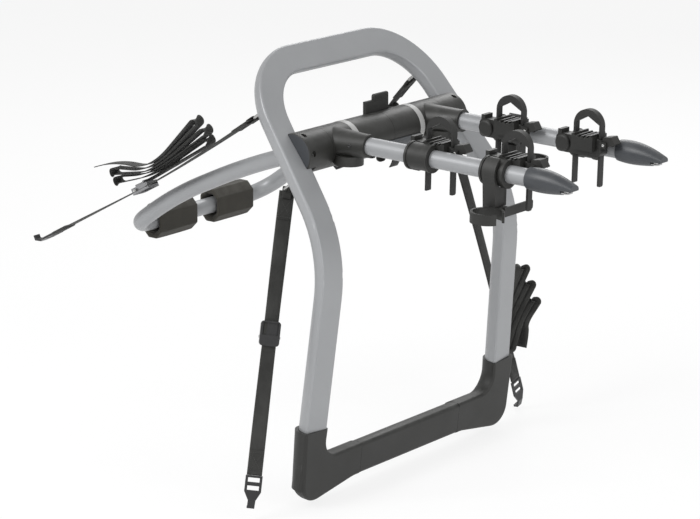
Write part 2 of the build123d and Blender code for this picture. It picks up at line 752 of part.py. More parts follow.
def cradle(reach):
    """A cradle on the right arm: collar, inboard housing, ribbed saddle and lever ears."""
    inner = -arch_inboard
    with BuildPart() as body:
        with BuildSketch(arm_plane(reach - collar_back)):
            Circle(collar_radius)
        extrude(amount=collar_back + collar_front)
        for flange in (reach - collar_back, reach + collar_front - collar_flange_width):
            with BuildSketch(arm_plane(flange)):
                Circle(collar_flange_radius)
            extrude(amount=collar_flange_width)
        with BuildSketch(arm_plane(reach - collar_back / 2 - clamp_boss_width)):
            Rectangle(clamp_boss_width, clamp_boss_drop, align=(Align.CENTER, Align.MAX))
        extrude(amount=clamp_boss_width)
        with BuildSketch(arm_side_plane(reach, inner + housing_half_width)) as housing:
            with Locations((-housing_back, -housing_low)):
                Rectangle(
                    housing_back + housing_front, housing_low + housing_high, align=(Align.MIN, Align.MIN)
                )
            fillet(housing.vertices(), radius=housing_end_radius)
        extrude(amount=2 * housing_half_width)
        with BuildSketch(arm_side_plane(reach - housing_back + lobe_radius, inner, housing_high / 4)):
            Circle(lobe_radius)
        extrude(amount=housing_half_width + lobe_proud)
        fillet(body.faces().sort_by(Axis.X)[0].edges(), radius=lobe_proud - fit_gap)
        with BuildSketch(arm_side_plane(reach, inner + saddle_half_width)):
            with BuildLine():
                Polyline(
                    (-saddle_half_length, saddle_high),
                    (-saddle_half_length, 0),
                    (saddle_half_length, 0),
                    (saddle_half_length, saddle_high),
                )
                ThreePointArc(
                    (saddle_half_length, saddle_high), (0, saddle_high - saddle_dip), (-saddle_half_length, saddle_high)
                )
            make_face()
        extrude(amount=2 * saddle_half_width)
        rib_step = 2 * saddle_half_length / rib_count
        with BuildSketch(arm_side_plane(reach, inner + saddle_half_width, saddle_high - saddle_dip)):
            for rib in range(rib_count):
                offset_share = (rib - (rib_count - 1) / 2) / (rib_count / 2)
                lift = saddle_dip * offset_share**2
                with Locations((rib_step * (rib - (rib_count - 1) / 2), lift - rib_height)):
                    Rectangle(rib_width, 2 * rib_height, align=(Align.CENTER, Align.MIN))
        extrude(amount=2 * saddle_half_width)
        with BuildSketch(arm_side_plane(reach, inner + housing_half_width)):
            with Locations((-housing_back + back_tab_length, housing_high - back_tab_height)):
                Rectangle(back_tab_length, 2 * back_tab_height, align=(Align.CENTER, Align.MIN))
        extrude(amount=2 * housing_half_width)
        for ear in (inner + strap_lever_half_width + fit_gap + lever_ear_width, inner - strap_lever_half_width - fit_gap):
            with BuildSketch(arm_side_plane(reach, ear)):
                with Locations((housing_front - lever_ear_width, strap_lever_level)):
                    Rectangle(
                        strap_lever_pivot + strap_lever_rim - housing_front + lever_ear_width,
                        2 * strap_lever_rim,
                        align=(Align.MIN, Align.CENTER),
                    )
            extrude(amount=lever_ear_width)
        with BuildSketch(arm_plane(reach - collar_back - overrun)):
            Circle(arm_radius + running_fit)
        extrude(amount=collar_back + collar_front + housing_front + 3 * overrun, mode=Mode.SUBTRACT)
        with BuildSketch(arm_top_plane(reach, inner, -overrun)):
            with Locations(*[(0, place) for place, _ in slot_places()]):
                Rectangle(arch_width + 2 * arch_slot_gap, arch_leg + 2 * arch_slot_gap)
        extrude(amount=2 * overrun + saddle_high, mode=Mode.SUBTRACT)
        with BuildSketch(arm_side_plane(reach, inner + strap_lever_half_width + overrun)):
            with Locations((strap_lever_pivot, strap_lever_level)):
                Circle(lever_pin_radius + running_fit)
        extrude(amount=2 * strap_lever_half_width + 2 * overrun, mode=Mode.SUBTRACT)
    return body


def arch_strap(reach):
    """The arched strap over a bike tube, its two tails through the cradle."""
    outer_centre = arch_top - arch_half_span
    inner_half = arch_half_span - arch_leg
    with BuildPart() as strap:
        with BuildSketch(arm_side_plane(reach, -arch_inboard + arch_width / 2)):
            with BuildLine():
                Line((-arch_half_span, outer_centre), (-arch_half_span, -arch_tail))
                Line((-arch_half_span, -arch_tail), (-inner_half, -arch_tail))
                Line((-inner_half, -arch_tail), (-inner_half, arch_shoulder))
                Line((-inner_half, arch_shoulder), (0, arch_apex))
                Line((0, arch_apex), (inner_half, arch_shoulder))
                Line((inner_half, arch_shoulder), (inner_half, -arch_tail))
                Line((inner_half, -arch_tail), (arch_half_span, -arch_tail))
                Line((arch_half_span, -arch_tail), (arch_half_span, outer_centre))
                ThreePointArc((arch_half_span, outer_centre), (0, arch_top), (-arch_half_span, outer_centre))
            make_face()
        extrude(amount=arch_width)
        tail_ends = strap.edges().filter_by(Axis((0, 0, 0), arm_axis)).group_by(Axis.Z)[0]
        fillet(tail_ends, radius=arch_width / 4)
    return strap


def strap_lever(reach):
    """The wedge lever that frees a strap, on a pin between the cradle's ears."""
    inner = -arch_inboard
    with BuildPart() as wedge:
        with BuildSketch(arm_side_plane(reach, inner + strap_lever_half_width)) as profile:
            Polygon(
                (strap_lever_pivot - lever_pin_radius, strap_lever_level - strap_lever_rim),
                (strap_lever_end, strap_lever_level + strap_lever_rim / 2),
                (strap_lever_flat_end, strap_lever_top),
                (strap_lever_pivot - lever_pin_radius, strap_lever_top - lever_pin_radius),
                align=None,
            )
            fillet(profile.vertices(), radius=lever_pin_radius / 2)
        extrude(amount=2 * strap_lever_half_width)
        with BuildSketch(
            arm_side_plane(reach, inner + strap_lever_half_width + fit_gap + lever_ear_width)
        ):
            with Locations((strap_lever_pivot, strap_lever_level)):
                Circle(lever_pin_radius)
        extrude(amount=2 * strap_lever_half_width + 2 * fit_gap + 2 * lever_ear_width)
    return wedge


def on_side(piece, left):
    """The piece itself, or its mirror image for the left arm."""
    with BuildPart() as placed:
        add(mirror(piece.part, about=Plane.YZ) if left else piece.part)
    return placed


for side_name, reaches in (("left", cradle_near_places), ("right", cradle_far_places)):
    for row_name, reach in zip(("inner", "outer"), reaches):
        left = side_name == "left"
        write(on_side(cradle(reach), left), f"cradle_{row_name}_{side_name}")
        write(on_side(arch_strap(reach), left), f"arch_strap_{row_name}_{side_name}")
        write(on_side(strap_lever(reach), left), f"strap_lever_{row_name}_{side_name}")


def sway_arm(reach):
    """The anti-sway arm: a part collar on the cradle and a drop bar to an open ring."""
    collar_inner = collar_flange_radius + soft_gap
    collar_outer = collar_inner + sway_collar_wall
    middle = reach - sway_ring_back
    ring_plane = arm_top_plane(middle, sway_ring_outboard, -sway_ring_drop)
    ring_inner = sway_ring_radius - sway_ring_wall
    with BuildPart() as arm:
        with BuildSketch(arm_plane(reach - sway_back)):
            Circle(collar_outer)
            with BuildLine():
                start, end = 180 - sway_wrap_start, 180 - sway_wrap_end
                turns = [radians(start + (end - start) * step / wedge_steps) for step in range(wedge_steps + 1)]
                Polyline((0, 0), *[(overrun * 2 * cos(a), overrun * 2 * sin(a)) for a in turns], close=True)
            make_face(mode=Mode.INTERSECT)
            with BuildLine():
                Polyline(
                    (no_length, -collar_inner - sway_collar_wall / 2),
                    (no_length, -sway_ring_drop),
                    (sway_bar_width, -sway_ring_drop),
                    (collar_inner + sway_collar_wall / 2, no_length),
                    close=True,
                )
            make_face()
            Circle(collar_inner, mode=Mode.SUBTRACT)
        extrude(amount=sway_back - sway_front)
        with BuildSketch(ring_plane):
            Circle(sway_ring_radius)
        extrude(amount=sway_ring_height / 2, both=True)
        with BuildSketch(arm_plane(middle - sway_ring_wall, sway_ring_outboard - sway_ring_radius, -sway_ring_drop)):
            Rectangle(sway_bracket_reach, sway_ring_height, align=(Align.MAX, Align.CENTER))
            Rectangle(sway_ring_wall, sway_ring_height, align=(Align.MIN, Align.CENTER))
        extrude(amount=sway_bracket_thickness)
        with BuildSketch(ring_plane):
            Circle(ring_inner)
        extrude(amount=sway_ring_height / 2 + fit_gap, both=True, mode=Mode.SUBTRACT)
        half_gap = radians(sway_ring_gap / 2)
        far = 2 * sway_ring_radius
        with BuildSketch(ring_plane):
            Polygon(
                (0, 0), (-far * sin(half_gap), -far * cos(half_gap)), (far * sin(half_gap), -far * cos(half_gap)),
                align=None,
            )
        extrude(amount=sway_ring_height / 2 + fit_gap, both=True, mode=Mode.SUBTRACT)
    return arm


def sway_strap(reach):
    """The ladder strap that closes the anti-sway ring, parked at the bracket."""
    start_out = sway_ring_outboard - sway_ring_radius - sway_bracket_reach / 2
    front = reach - sway_ring_back - sway_ring_wall + sway_bracket_thickness
    with BuildPart() as strap:
        with BuildSketch(arm_top_plane(front, start_out, -sway_ring_drop)):
            Rectangle(sway_strap_length, sway_strap_thickness, align=(Align.MAX, Align.MAX))
        extrude(amount=sway_strap_height / 2, both=True)
        fillet(strap.edges().filter_by(Axis((0, 0, 0), arm_axis)).sort_by(Axis.X)[:2], radius=sway_strap_height / 4)
    return strap


for side_name, row_name, reach in (("left", "outer", cradle_near_places[1]), ("right", "inner", cradle_far_places[0])):
    left = side_name == "left"
    write(on_side(sway_arm(reach), left), f"anti_sway_arm_{row_name}_{side_name}")
    write(on_side(sway_strap(reach), left), f"anti_sway_strap_{row_name}_{side_name}")


def leg_place(height):
    """X of the hoop's centre line at a height on the upper plane."""
    tangent = corner_radius * tan((pi / 2 - radians(upper_flare)) / 2)
    straight_end = top_reach - tangent * cos(radians(upper_flare))
    if height <= straight_end:
        return hub_half_spread - height * tan(radians(upper_flare))
    arc_place = top_corner_place - tangent
    arc_height = top_reach - corner_radius
    return arc_place + sqrt(corner_radius**2 - (height - arc_height) ** 2)


ring_inset = tube_depth + ring_stand


def ring_plane(height):
    """Plane of one strap ring on the right leg: x along the hub, y to the front."""
    origin = high_plane.from_local_coords((leg_place(height), height, -ring_inset))
    return Plane(origin=origin, x_dir=side_axis, z_dir=-high_up)


# Wire staples behind the legs, one for each strap
ring_width_half = ring_inner_half_width + ring_wire_radius
with BuildPart() as strap_rings:
    for height in (top_ring_place, low_ring_place):
        seat = ring_plane(height)
        with BuildLine() as staple_route:
            FilletPolyline(
                seat.from_local_coords((-ring_width_half, ring_stand + ring_weld_length, 0)),
                seat.from_local_coords((-ring_width_half, 0, 0)),
                seat.from_local_coords((ring_width_half, 0, 0)),
                seat.from_local_coords((ring_width_half, ring_stand + ring_weld_length, 0)),
                radius=ring_bend_radius,
            )
        start = staple_route.wires()[0] @ 0
        with BuildSketch(Plane(origin=start, x_dir=side_axis, z_dir=-seat.y_dir)):
            Circle(ring_wire_radius)
        sweep(path=staple_route.wires()[0])
    add(hoop_outer, mode=Mode.SUBTRACT)
    mirror(about=Plane.YZ)
write(strap_rings, "strap_rings")


def strap_plane(point, along, width_way):
    """Plane across a strap: its x is the way of the webbing's width."""
    return Plane(origin=point, x_dir=width_way, z_dir=along)


def strap_solid(points, width_way, radii):
    """A band of webbing along straight runs and arcs."""
    with BuildLine() as route:
        FilletPolyline(*points, radius=radii)
    wire = route.wires()[0]
    with BuildPart() as band:
        with BuildSketch(strap_plane(wire @ 0, wire % 0, width_way)):
            Rectangle(webbing_width, webbing_thickness)
        sweep(path=wire)
    print("webbing run", round(wire.length, 1), "volume over section", round(band.part.volume / webbing_width / webbing_thickness, 1))
    return band


def buckle(plane):
    """A cam buckle body: a tray with side walls, a slot for the webbing and an eye."""
    half = buckle_length / 2
    gap = webbing_thickness / 2 + soft_gap
    with BuildPart() as body:
        with BuildSketch(plane.offset(-half)):
            Rectangle(buckle_width, buckle_height)
        extrude(amount=buckle_length)
        fillet(body.edges().filter_by(Axis((0, 0, 0), plane.y_dir)), radius=buckle_height / 2)
        with BuildSketch(plane.offset(-half - overrun)):
            Rectangle(webbing_width + 2 * soft_gap, 2 * gap)
        extrude(amount=buckle_length + 2 * overrun, mode=Mode.SUBTRACT)
        with BuildSketch(plane.offset(buckle_wall - half)):
            with Locations((0, gap + buckle_wall / 2)):
                Rectangle(webbing_width, buckle_height, align=(Align.CENTER, Align.MIN))
        extrude(amount=half, mode=Mode.SUBTRACT)
    return body


def hook(plane):
    """A flat strap hook: a plate with two slots that narrows and curls over."""
    t = hook_thickness
    with BuildPart() as body:
        along = Plane(origin=plane.origin, x_dir=plane.z_dir, z_dir=plane.x_dir)
        with BuildSketch(along.offset(-hook_width / 2)):
            with BuildLine():
                Polyline(
                    (0, -t / 2), (hook_plate, -t / 2), (hook_plate + hook_curl, hook_rise),
                    (hook_plate + hook_curl, hook_curl), (hook_plate + hook_curl - t, hook_curl),
                    (hook_plate + hook_curl - t, hook_curl / 2), (hook_plate - t / 4, t / 2), (0, t / 2),
                    close=True,
                )
            make_face()
        extrude(amount=hook_width)
        with BuildSketch(Plane(origin=plane.origin, x_dir=plane.z_dir, z_dir=plane.y_dir)):
            Polygon(
                (0, -hook_width / 2), (hook_shoulder, -hook_width / 2), (hook_plate, -hook_tip_width / 2),
                (hook_plate + hook_curl + t, -hook_tip_width / 2), (hook_plate + hook_curl + t, hook_tip_width / 2),
                (hook_plate, hook_tip_width / 2), (hook_shoulder, hook_width / 2), (0, hook_width / 2),
                align=None,
            )
        extrude(amount=hook_curl + t, both=True, mode=Mode.INTERSECT)
        with BuildSketch(Plane(origin=plane.origin, x_dir=plane.z_dir, z_dir=plane.y_dir)):
            with Locations((hook_slot_height, 0), (hook_plate / 2, 0)):
                Rectangle(hook_slot_height, hook_slot_length)
        extrude(amount=t, both=True, mode=Mode.SUBTRACT)
    return body


def fold_gap(points):
    """Least gap between runs of a folded band that aren't neighbours."""
    runs = list(zip(points, points[1:]))
    marks = [
        (index, first + (last - first) * (step / mark_steps))
        for index, (first, last) in enumerate(runs)
        for step in range(mark_steps + 1)
    ]
    gaps = [
        (mark - other).length for index, mark in marks for other_index, other in marks if other_index > index + 3
    ]
    return min(gaps) - webbing_thickness


def bundle(plane, start_point, waist, row_way, back_tips, front_tips, tip_half, tail_points):
    """Folded spare webbing: loops to both sides of one waist, flat in one plane."""
    waist_spot = Vector(*waist, 0)
    row_step = Vector(*row_way, 0).normalized() * bundle_pitch
    count = len(back_tips) + len(front_tips) + 1
    rows = [waist_spot + row_step * (row - count / 2) for row in range(count + 1)]
    spots = [Vector(*start_point, 0)]
    tips = [tip for pair in zip(back_tips, front_tips) for tip in pair] + list(back_tips[len(front_tips):])
    for row, tip in enumerate(tips):
        tip_spot = Vector(*tip, 0)
        way = (tip_spot - waist_spot).normalized()
        side = Vector(-way.Y, way.X, 0) * tip_half
        if side.dot(row_step) > 0:
            side = side * -1
        spots += [rows[row], tip_spot + side, tip_spot - side]
    spots.append(rows[len(tips)])
    spots += [Vector(*spot, 0) for spot in tail_points]
    points = [plane.from_local_coords(spot) for spot in spots]
    print("bundle gap to itself", round(fold_gap(points), 2))
    return strap_solid(points, plane.z_dir, [tip_half * fold_share] * (len(points) - 2))


def strap(name, points, width_way, radii, buckle_run, buckle_place_share):
    """One strap: its webbing, its buckle part of the way along a run and its end hook."""
    leave = (points[1] - points[0]).normalized()
    slant_reach = abs(leave.dot(width_way)) * webbing_width / 2
    points = [points[0] + leave * (ring_wire_radius + soft_gap + slant_reach * ring_slant_share), *points[1:]]
    write(strap_solid(points, width_way, radii), f"webbing_{name}")
    along = (points[-1] - points[-2]).normalized()
    write(hook(strap_plane(points[-1] + along * soft_gap, along, width_way)), f"hook_{name}")
    run_start, run_end = points[buckle_run], points[buckle_run + 1]
    at = run_start + (run_end - run_start) * buckle_place_share
    write(buckle(strap_plane(at, run_end - run_start, width_way)), f"buckle_{name}")


top_ring = ring_plane(top_ring_place).origin
low_ring = ring_plane(low_ring_place).origin


def strap_point(x, y, z):
    """A point of a strap's route, measured from the middle of the hub axis."""
    return hub_point + Vector(x, y, z)


# Upper left strap, drawn out to the vehicle, with its spare webbing bundled
top_side = top_ring.X
strap(
    "top_left",
    [
        Vector(-top_side, top_ring.Y, top_ring.Z),
        strap_point(-top_side, 250, -61),
        strap_point(-top_side, 430, -156),
        strap_point(-top_side, 537, -213),
    ],
    side_axis, [900, 1500], 1, 0.44,
)
bundle_top_left = bundle(
    hub_plane(-top_side), (325, -92.5), (303, -72), (0, 1),
    [(181, -1), (185, 15), (204, 27)], [(386, -96), (392, -82)], 5.5, [(385, -64), (428, -80)],
)
write(bundle_top_left, "bundle_top_left")

# Upper right strap, folded away behind the hub
strap(
    "top_right",
    [
        Vector(top_side, top_ring.Y, top_ring.Z),
        strap_point(top_side, 135, -9),
        strap_point(top_side, 205, -94),
    ],
    side_axis, [900], 1, 0.4,
)
bundle_top_right = bundle(
    hub_plane(top_side), (167, -58.5), (147, -64), (-0.77, -0.64),
    [(120, -4), (110, -11), (101, -20), (92, -28)], [(192, -92), (181, -99), (172, -107)], 3.2,
    [(150, -114), (158, -124)],
)
write(bundle_top_right, "bundle_top_right")

# Lower straps, drawn down and out beside the legs
low_left_points = [
    Vector(-low_ring.X, low_ring.Y, low_ring.Z), strap_point(-282, -13, -240), strap_point(-357, -36, -492),
]
strap("bottom_left", low_left_points, Vector(0.707, -0.707, 0), [1500], 1, 0.14)
low_right_points = [
    Vector(low_ring.X, low_ring.Y, low_ring.Z), strap_point(295, -17, -265), strap_point(364, -36, -508),
]
strap("bottom_right", low_right_points, side_axis, [1500], 1, 0.62)
bundle_bottom_right = bundle(
    Plane(origin=strap_point(0, -9, 0), x_dir=side_axis, z_dir=(0, -1, 0)), (331, -394), (352, -392), (0.75, -0.65),
    [(411, -313), (404, -338), (394, -364)], [(316, -427), (329, -440)], 3.0, [(360, -412), (352, -440)],
)
write(bundle_bottom_right, "bundle_bottom_right")
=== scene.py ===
import bmesh
import bpy
import math
from mathutils import Matrix, Vector


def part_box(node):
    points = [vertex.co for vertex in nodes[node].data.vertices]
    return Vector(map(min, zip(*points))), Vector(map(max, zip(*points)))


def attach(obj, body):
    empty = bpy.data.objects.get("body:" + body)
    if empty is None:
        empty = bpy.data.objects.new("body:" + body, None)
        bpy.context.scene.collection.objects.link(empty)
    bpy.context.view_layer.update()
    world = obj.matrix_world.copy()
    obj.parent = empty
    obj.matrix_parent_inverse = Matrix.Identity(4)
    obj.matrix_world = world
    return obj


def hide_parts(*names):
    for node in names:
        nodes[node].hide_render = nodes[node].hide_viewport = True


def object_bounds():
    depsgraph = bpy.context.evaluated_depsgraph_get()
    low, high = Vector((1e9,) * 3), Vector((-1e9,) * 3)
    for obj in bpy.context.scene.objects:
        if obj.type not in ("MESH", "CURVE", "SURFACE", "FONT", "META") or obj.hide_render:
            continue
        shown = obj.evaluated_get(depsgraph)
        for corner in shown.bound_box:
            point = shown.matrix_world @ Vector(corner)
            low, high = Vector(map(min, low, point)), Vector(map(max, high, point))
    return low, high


# Looks of a trunk mounted bike rack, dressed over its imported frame. All
# lengths are metres, in the frame's own axes.
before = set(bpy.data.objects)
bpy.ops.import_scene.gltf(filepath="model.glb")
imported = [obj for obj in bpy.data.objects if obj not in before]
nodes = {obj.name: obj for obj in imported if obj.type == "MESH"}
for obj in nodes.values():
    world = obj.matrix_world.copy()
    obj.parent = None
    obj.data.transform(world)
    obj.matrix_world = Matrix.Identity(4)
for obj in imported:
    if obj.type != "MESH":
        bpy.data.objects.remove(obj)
cad_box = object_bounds()
scene = bpy.context.scene
scene.view_settings.view_transform = "Standard"

hub_centre = Vector((0, 0.0405, 0.51064))
arm_droop = math.radians(1.34)
arm_way = Vector((0, -math.cos(arm_droop), -math.sin(arm_droop)))
arm_up = Vector((0, -math.sin(arm_droop), math.cos(arm_droop)))
arm_side = 0.1263
hub_cap_face = 0.2118
arm_lift = 0.0134
tape_width = 0.0246
tape_thickness = 0.0015
across_hub = Vector((1, 0, 0))
up_way = Vector((0, 0, 1))
toward_vehicle = Vector((0, 1, 0))
view_turn, view_rise = math.radians(-51.55), math.radians(14.74)
view_way = Vector((
    math.sin(view_turn) * math.cos(view_rise),
    -math.cos(view_turn) * math.cos(view_rise),
    math.sin(view_rise),
))


# Camera
def photo_camera():
    """The camera at the photograph's own angle, distance and framing."""
    right = Vector((math.cos(view_turn), math.sin(view_turn), 0))
    top = view_way.cross(right)
    lens = bpy.data.cameras.new("photo_camera")
    lens.sensor_fit = "HORIZONTAL"
    lens.sensor_width = 36
    lens.lens = 143.5
    lens.clip_end = 60
    camera = bpy.data.objects.new("photo_camera", lens)
    place = hub_centre + view_way * 4.609 - right * 0.0415 - top * 0.209
    camera.matrix_world = Matrix.Translation(place) @ Matrix((right, top, view_way)).transposed().to_4x4()
    scene.collection.objects.link(camera)
    scene.camera = camera


photo_camera()


# Mesh helpers
def piece(name, mesh, material, body):
    """A finished mesh as a piece that rides on a body."""
    made = bpy.data.objects.new(name, mesh)
    mesh.name = name
    scene.collection.objects.link(made)
    mesh.materials.clear()
    mesh.materials.append(material)
    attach(made, body)
    return made


def closed_mesh(name, verts, faces, smooth=True, uvs=None):
    """A mesh with its normals outwards and, where given, a UV for every vertex."""
    mesh = bpy.data.meshes.new(name)
    mesh.from_pydata([tuple(v) for v in verts], [], faces)
    if uvs:
        layer = mesh.uv_layers.new(name="tape")
        for loop in mesh.loops:
            layer.data[loop.index].uv = uvs[loop.vertex_index]
    work = bmesh.new()
    work.from_mesh(mesh)
    bmesh.ops.recalc_face_normals(work, faces=work.faces)
    work.to_mesh(mesh)
    work.free()
    if smooth:
        mesh.shade_smooth()
    return mesh


def join(name, meshes):
    """Several meshes as one."""
    work = bmesh.new()
    for mesh in meshes:
        work.from_mesh(mesh)
    out = bpy.data.meshes.new(name)
    work.to_mesh(out)
    work.free()
    for mesh in meshes:
        bpy.data.meshes.remove(mesh)
    return out


def frame_from(way, side):
    """A side and a lift square to a way."""
    way = way.normalized()
    side = (side - way * side.dot(way)).normalized()
    return side, side.cross(way)


def turned(centre, way, profile, segments=32):
    """A shape turned about a line: profile pairs are (radius, place along the way)."""
    side = Vector((0, 0, 1)) if abs(way.normalized().z) < 0.9 else Vector((1, 0, 0))
    side, lift = frame_from(way, side)
    way = way.normalized()
    verts, faces, rings = [], [], []
    for radius, along in profile:
        if radius <= 0:
            rings.append([len(verts)] * segments)
            verts.append(centre + way * along)
            continue
        rings.append([len(verts) + i for i in range(segments)])
        for i in range(segments):
            angle = 2 * math.pi * i / segments
            verts.append(centre + way * along + (side * math.cos(angle) + lift * math.sin(angle)) * radius)
    for low, high in zip(rings, rings[1:]):
        for i in range(segments):
            j = (i + 1) % segments
            corners = [low[i], low[j], high[j], high[i]]
            corners = [c for k, c in enumerate(corners) if c not in corners[:k]]
            if len(corners) > 2:
                faces.append(corners)
    return closed_mesh("turned", verts, faces)


def block(centre, size, side, lift, bevel=0.0006, taper=1.0):
    """A bevelled block: size is along side, lift and the way square to both."""
    way = side.cross(lift)
    work = bmesh.new()
    bmesh.ops.create_cube(work, size=1)
    for vert in work.verts:
        shrink = taper if vert.co.z > 0 else 1
        vert.co = (
            centre
            + side * vert.co.x * size[0] * shrink
            + lift * vert.co.y * size[1] * shrink
            + way * vert.co.z * size[2]
        )
    bmesh.ops.bevel(work, geom=work.edges[:], offset=bevel, segments=3, affect="EDGES", profile=0.5)
    bmesh.ops.recalc_face_normals(work, faces=work.faces)
    mesh = bpy.data.meshes.new("block")
    work.to_mesh(mesh)
    work.free()
    mesh.shade_smooth()
    return mesh


def capsule(way, length, radius, segments=8):
    """A small rounded thread or pin along a way, about the origin."""
    half = length / 2
    profile = [
        (0, -half), (radius * 0.7, -half + radius * 0.3), (radius, -half + radius),
        (radius, half - radius), (radius * 0.7, half - radius * 0.3), (0, half),
    ]
    return turned(Vector((0, 0, 0)), way, profile, segments)


# The row of repeated pieces, a geometry node tree
def row_tree():
    """A tree that sets one small piece at even places on a straight line."""
    tree = bpy.data.node_groups.new("even_row", "GeometryNodeTree")
    face = tree.interface
    face.new_socket("Geometry", in_out="INPUT", socket_type="NodeSocketGeometry")
    face.new_socket("Start", in_out="INPUT", socket_type="NodeSocketVector")
    face.new_socket("End", in_out="INPUT", socket_type="NodeSocketVector")
    face.new_socket("Count", in_out="INPUT", socket_type="NodeSocketInt")
    face.new_socket("Piece", in_out="INPUT", socket_type="NodeSocketObject")
    face.new_socket("Finish", in_out="INPUT", socket_type="NodeSocketMaterial")
    face.new_socket("Geometry", in_out="OUTPUT", socket_type="NodeSocketGeometry")
    given = tree.nodes.new("NodeGroupInput")
    out = tree.nodes.new("NodeGroupOutput")
    line = tree.nodes.new("GeometryNodeMeshLine")
    line.mode = "END_POINTS"
    info = tree.nodes.new("GeometryNodeObjectInfo")
    spread = tree.nodes.new("GeometryNodeInstanceOnPoints")
    real = tree.nodes.new("GeometryNodeRealizeInstances")
    coat = tree.nodes.new("GeometryNodeSetMaterial")
    link = tree.links.new
    link(given.outputs["Count"], line.inputs["Count"])
    link(given.outputs["Start"], line.inputs["Start Location"])
    link(given.outputs["End"], line.inputs["Offset"])
    link(given.outputs["Piece"], info.inputs["Object"])
    link(line.outputs["Mesh"], spread.inputs["Points"])
    link(info.outputs["Geometry"], spread.inputs["Instance"])
    link(spread.outputs["Instances"], real.inputs["Geometry"])
    link(real.outputs["Geometry"], coat.inputs["Geometry"])
    link(given.outputs["Finish"], coat.inputs["Material"])
    link(coat.outputs["Geometry"], out.inputs["Geometry"])
    return tree


even_row = row_tree()


def row_mesh(unit, start, end, count, material):
    """The plain mesh of one row of the unit mesh between two points."""
    holder = bpy.data.objects.new("unit", unit)
    base = bpy.data.objects.new("row", bpy.data.meshes.new("row"))
    scene.collection.objects.link(holder)
    scene.collection.objects.link(base)
    spread = base.modifiers.new("row", "NODES")
    spread.node_group = even_row
    values = {"Start": tuple(start), "End": tuple(end), "Count": count, "Piece": holder, "Finish": material}
    for item in even_row.interface.items_tree:
        if item.in_out == "INPUT" and item.name in values:
            spread[item.identifier] = values[item.name]
    reader = bpy.context.evaluated_depsgraph_get()
    mesh = bpy.data.meshes.new_from_object(base.evaluated_get(reader))
    bpy.data.objects.remove(base)
    bpy.data.objects.remove(holder)
    return mesh


# Shader groups
def group(name, takes, gives):
    """An empty shader group with named sockets, and its first and last nodes."""
    tree = bpy.data.node_groups.new(name, "ShaderNodeTree")
    for label, kind, value in takes:
        socket = tree.interface.new_socket(label, in_out="INPUT", socket_type=f"NodeSocket{kind}")
        if value is not None:
            socket.default_value = value
    for label, kind in gives:
        tree.interface.new_socket(label, in_out="OUTPUT", socket_type=f"NodeSocket{kind}")
    return tree, tree.nodes.new("NodeGroupInput"), tree.nodes.new("NodeGroupOutput")


def feed(tree, socket, value):
    """Links a socket, or sets it where the value is plain."""
    if isinstance(value, bpy.types.NodeSocket):
        tree.links.new(value, socket)
    elif value is not None:
        socket.default_value = value


def sums(tree, how, a, b=None, c=None):
    """One math node."""
    made = tree.nodes.new("ShaderNodeMath")
    made.operation = how
    for socket, value in zip(made.inputs, (a, b, c)):
        feed(tree, socket, value)
    return made.outputs[0]


def noise(tree, vector, scale, detail=3, roughness=0.55):
    made = tree.nodes.new("ShaderNodeTexNoise")
    feed(tree, made.inputs["Vector"], vector)
    feed(tree, made.inputs["Scale"], scale)
    made.inputs["Detail"].default_value = detail
    made.inputs["Roughness"].default_value = roughness
    return made.outputs["Fac"]


def ramp(tree, value, low, high, to_low=0.0, to_high=1.0):
    made = tree.nodes.new("ShaderNodeMapRange")
    for socket, given in zip(made.inputs, (value, low, high, to_low, to_high)):
        feed(tree, socket, given)
    return made.outputs[0]


def grain_group():
    """Fine moulded grain over slow mottling."""
    tree, given, out = group(
        "moulded_grain",
        [("Vector", "Vector", None), ("Grain Scale", "Float", 900.0), ("Mottle Scale", "Float", 14.0)],
        [("Height", "Float"), ("Mottle", "Float")],
    )
    fine = noise(tree, given.outputs["Vector"], given.outputs["Grain Scale"], 2)
    cells = tree.nodes.new("ShaderNodeTexVoronoi")
    feed(tree, cells.inputs["Vector"], given.outputs["Vector"])
    feed(tree, cells.inputs["Scale"], given.outputs["Grain Scale"])
    height = sums(tree, "ADD", fine, sums(tree, "MULTIPLY", cells.outputs["Distance"], 0.6))
    slow = noise(tree, given.outputs["Vector"], given.outputs["Mottle Scale"], 4)
    tree.links.new(height, out.inputs["Height"])
    tree.links.new(ramp(tree, slow, 0.3, 0.7), out.inputs["Mottle"])
    return tree


def dust_group():
    """A pale film where a surface faces up, broken by noise."""
    tree, given, out = group(
        "settled_dust", [("Vector", "Vector", None), ("Amount", "Float", 0.1)], [("Mask", "Float")]
    )
    surface = tree.nodes.new("ShaderNodeNewGeometry")
    parts = tree.nodes.new("ShaderNodeSeparateXYZ")
    tree.links.new(surface.outputs["Normal"], parts.inputs[0])
    lie = ramp(tree, parts.outputs["Z"], 0.1, 0.95)
    patch = ramp(tree, noise(tree, given.outputs["Vector"], 55.0, 5), 0.35, 0.75)
    mask = sums(tree, "MULTIPLY", sums(tree, "MULTIPLY", lie, patch), given.outputs["Amount"])
    tree.links.new(mask, out.inputs["Mask"])
    return tree


def scuff_group():
    """Thin handling scratches in two crossing directions."""
    tree, given, out = group(
        "handling_scuffs", [("Vector", "Vector", None), ("Amount", "Float", 0.3)], [("Mask", "Float")]
    )
    total = None
    for stretch in ((14.0, 190.0, 60.0), (160.0, 12.0, 45.0)):
        mapping = tree.nodes.new("ShaderNodeMapping")
        mapping.inputs["Scale"].default_value = stretch
        mapping.inputs["Rotation"].default_value = (0.3, 0.2, stretch[0] / 100)
        feed(tree, mapping.inputs["Vector"], given.outputs["Vector"])
        lines = ramp(tree, noise(tree, mapping.outputs["Vector"], 3.0, 6, 0.7), 0.63, 0.72)
        total = lines if total is None else sums(tree, "MAXIMUM", total, lines)
    tree.links.new(sums(tree, "MULTIPLY", total, given.outputs["Amount"]), out.inputs["Mask"])
    return tree


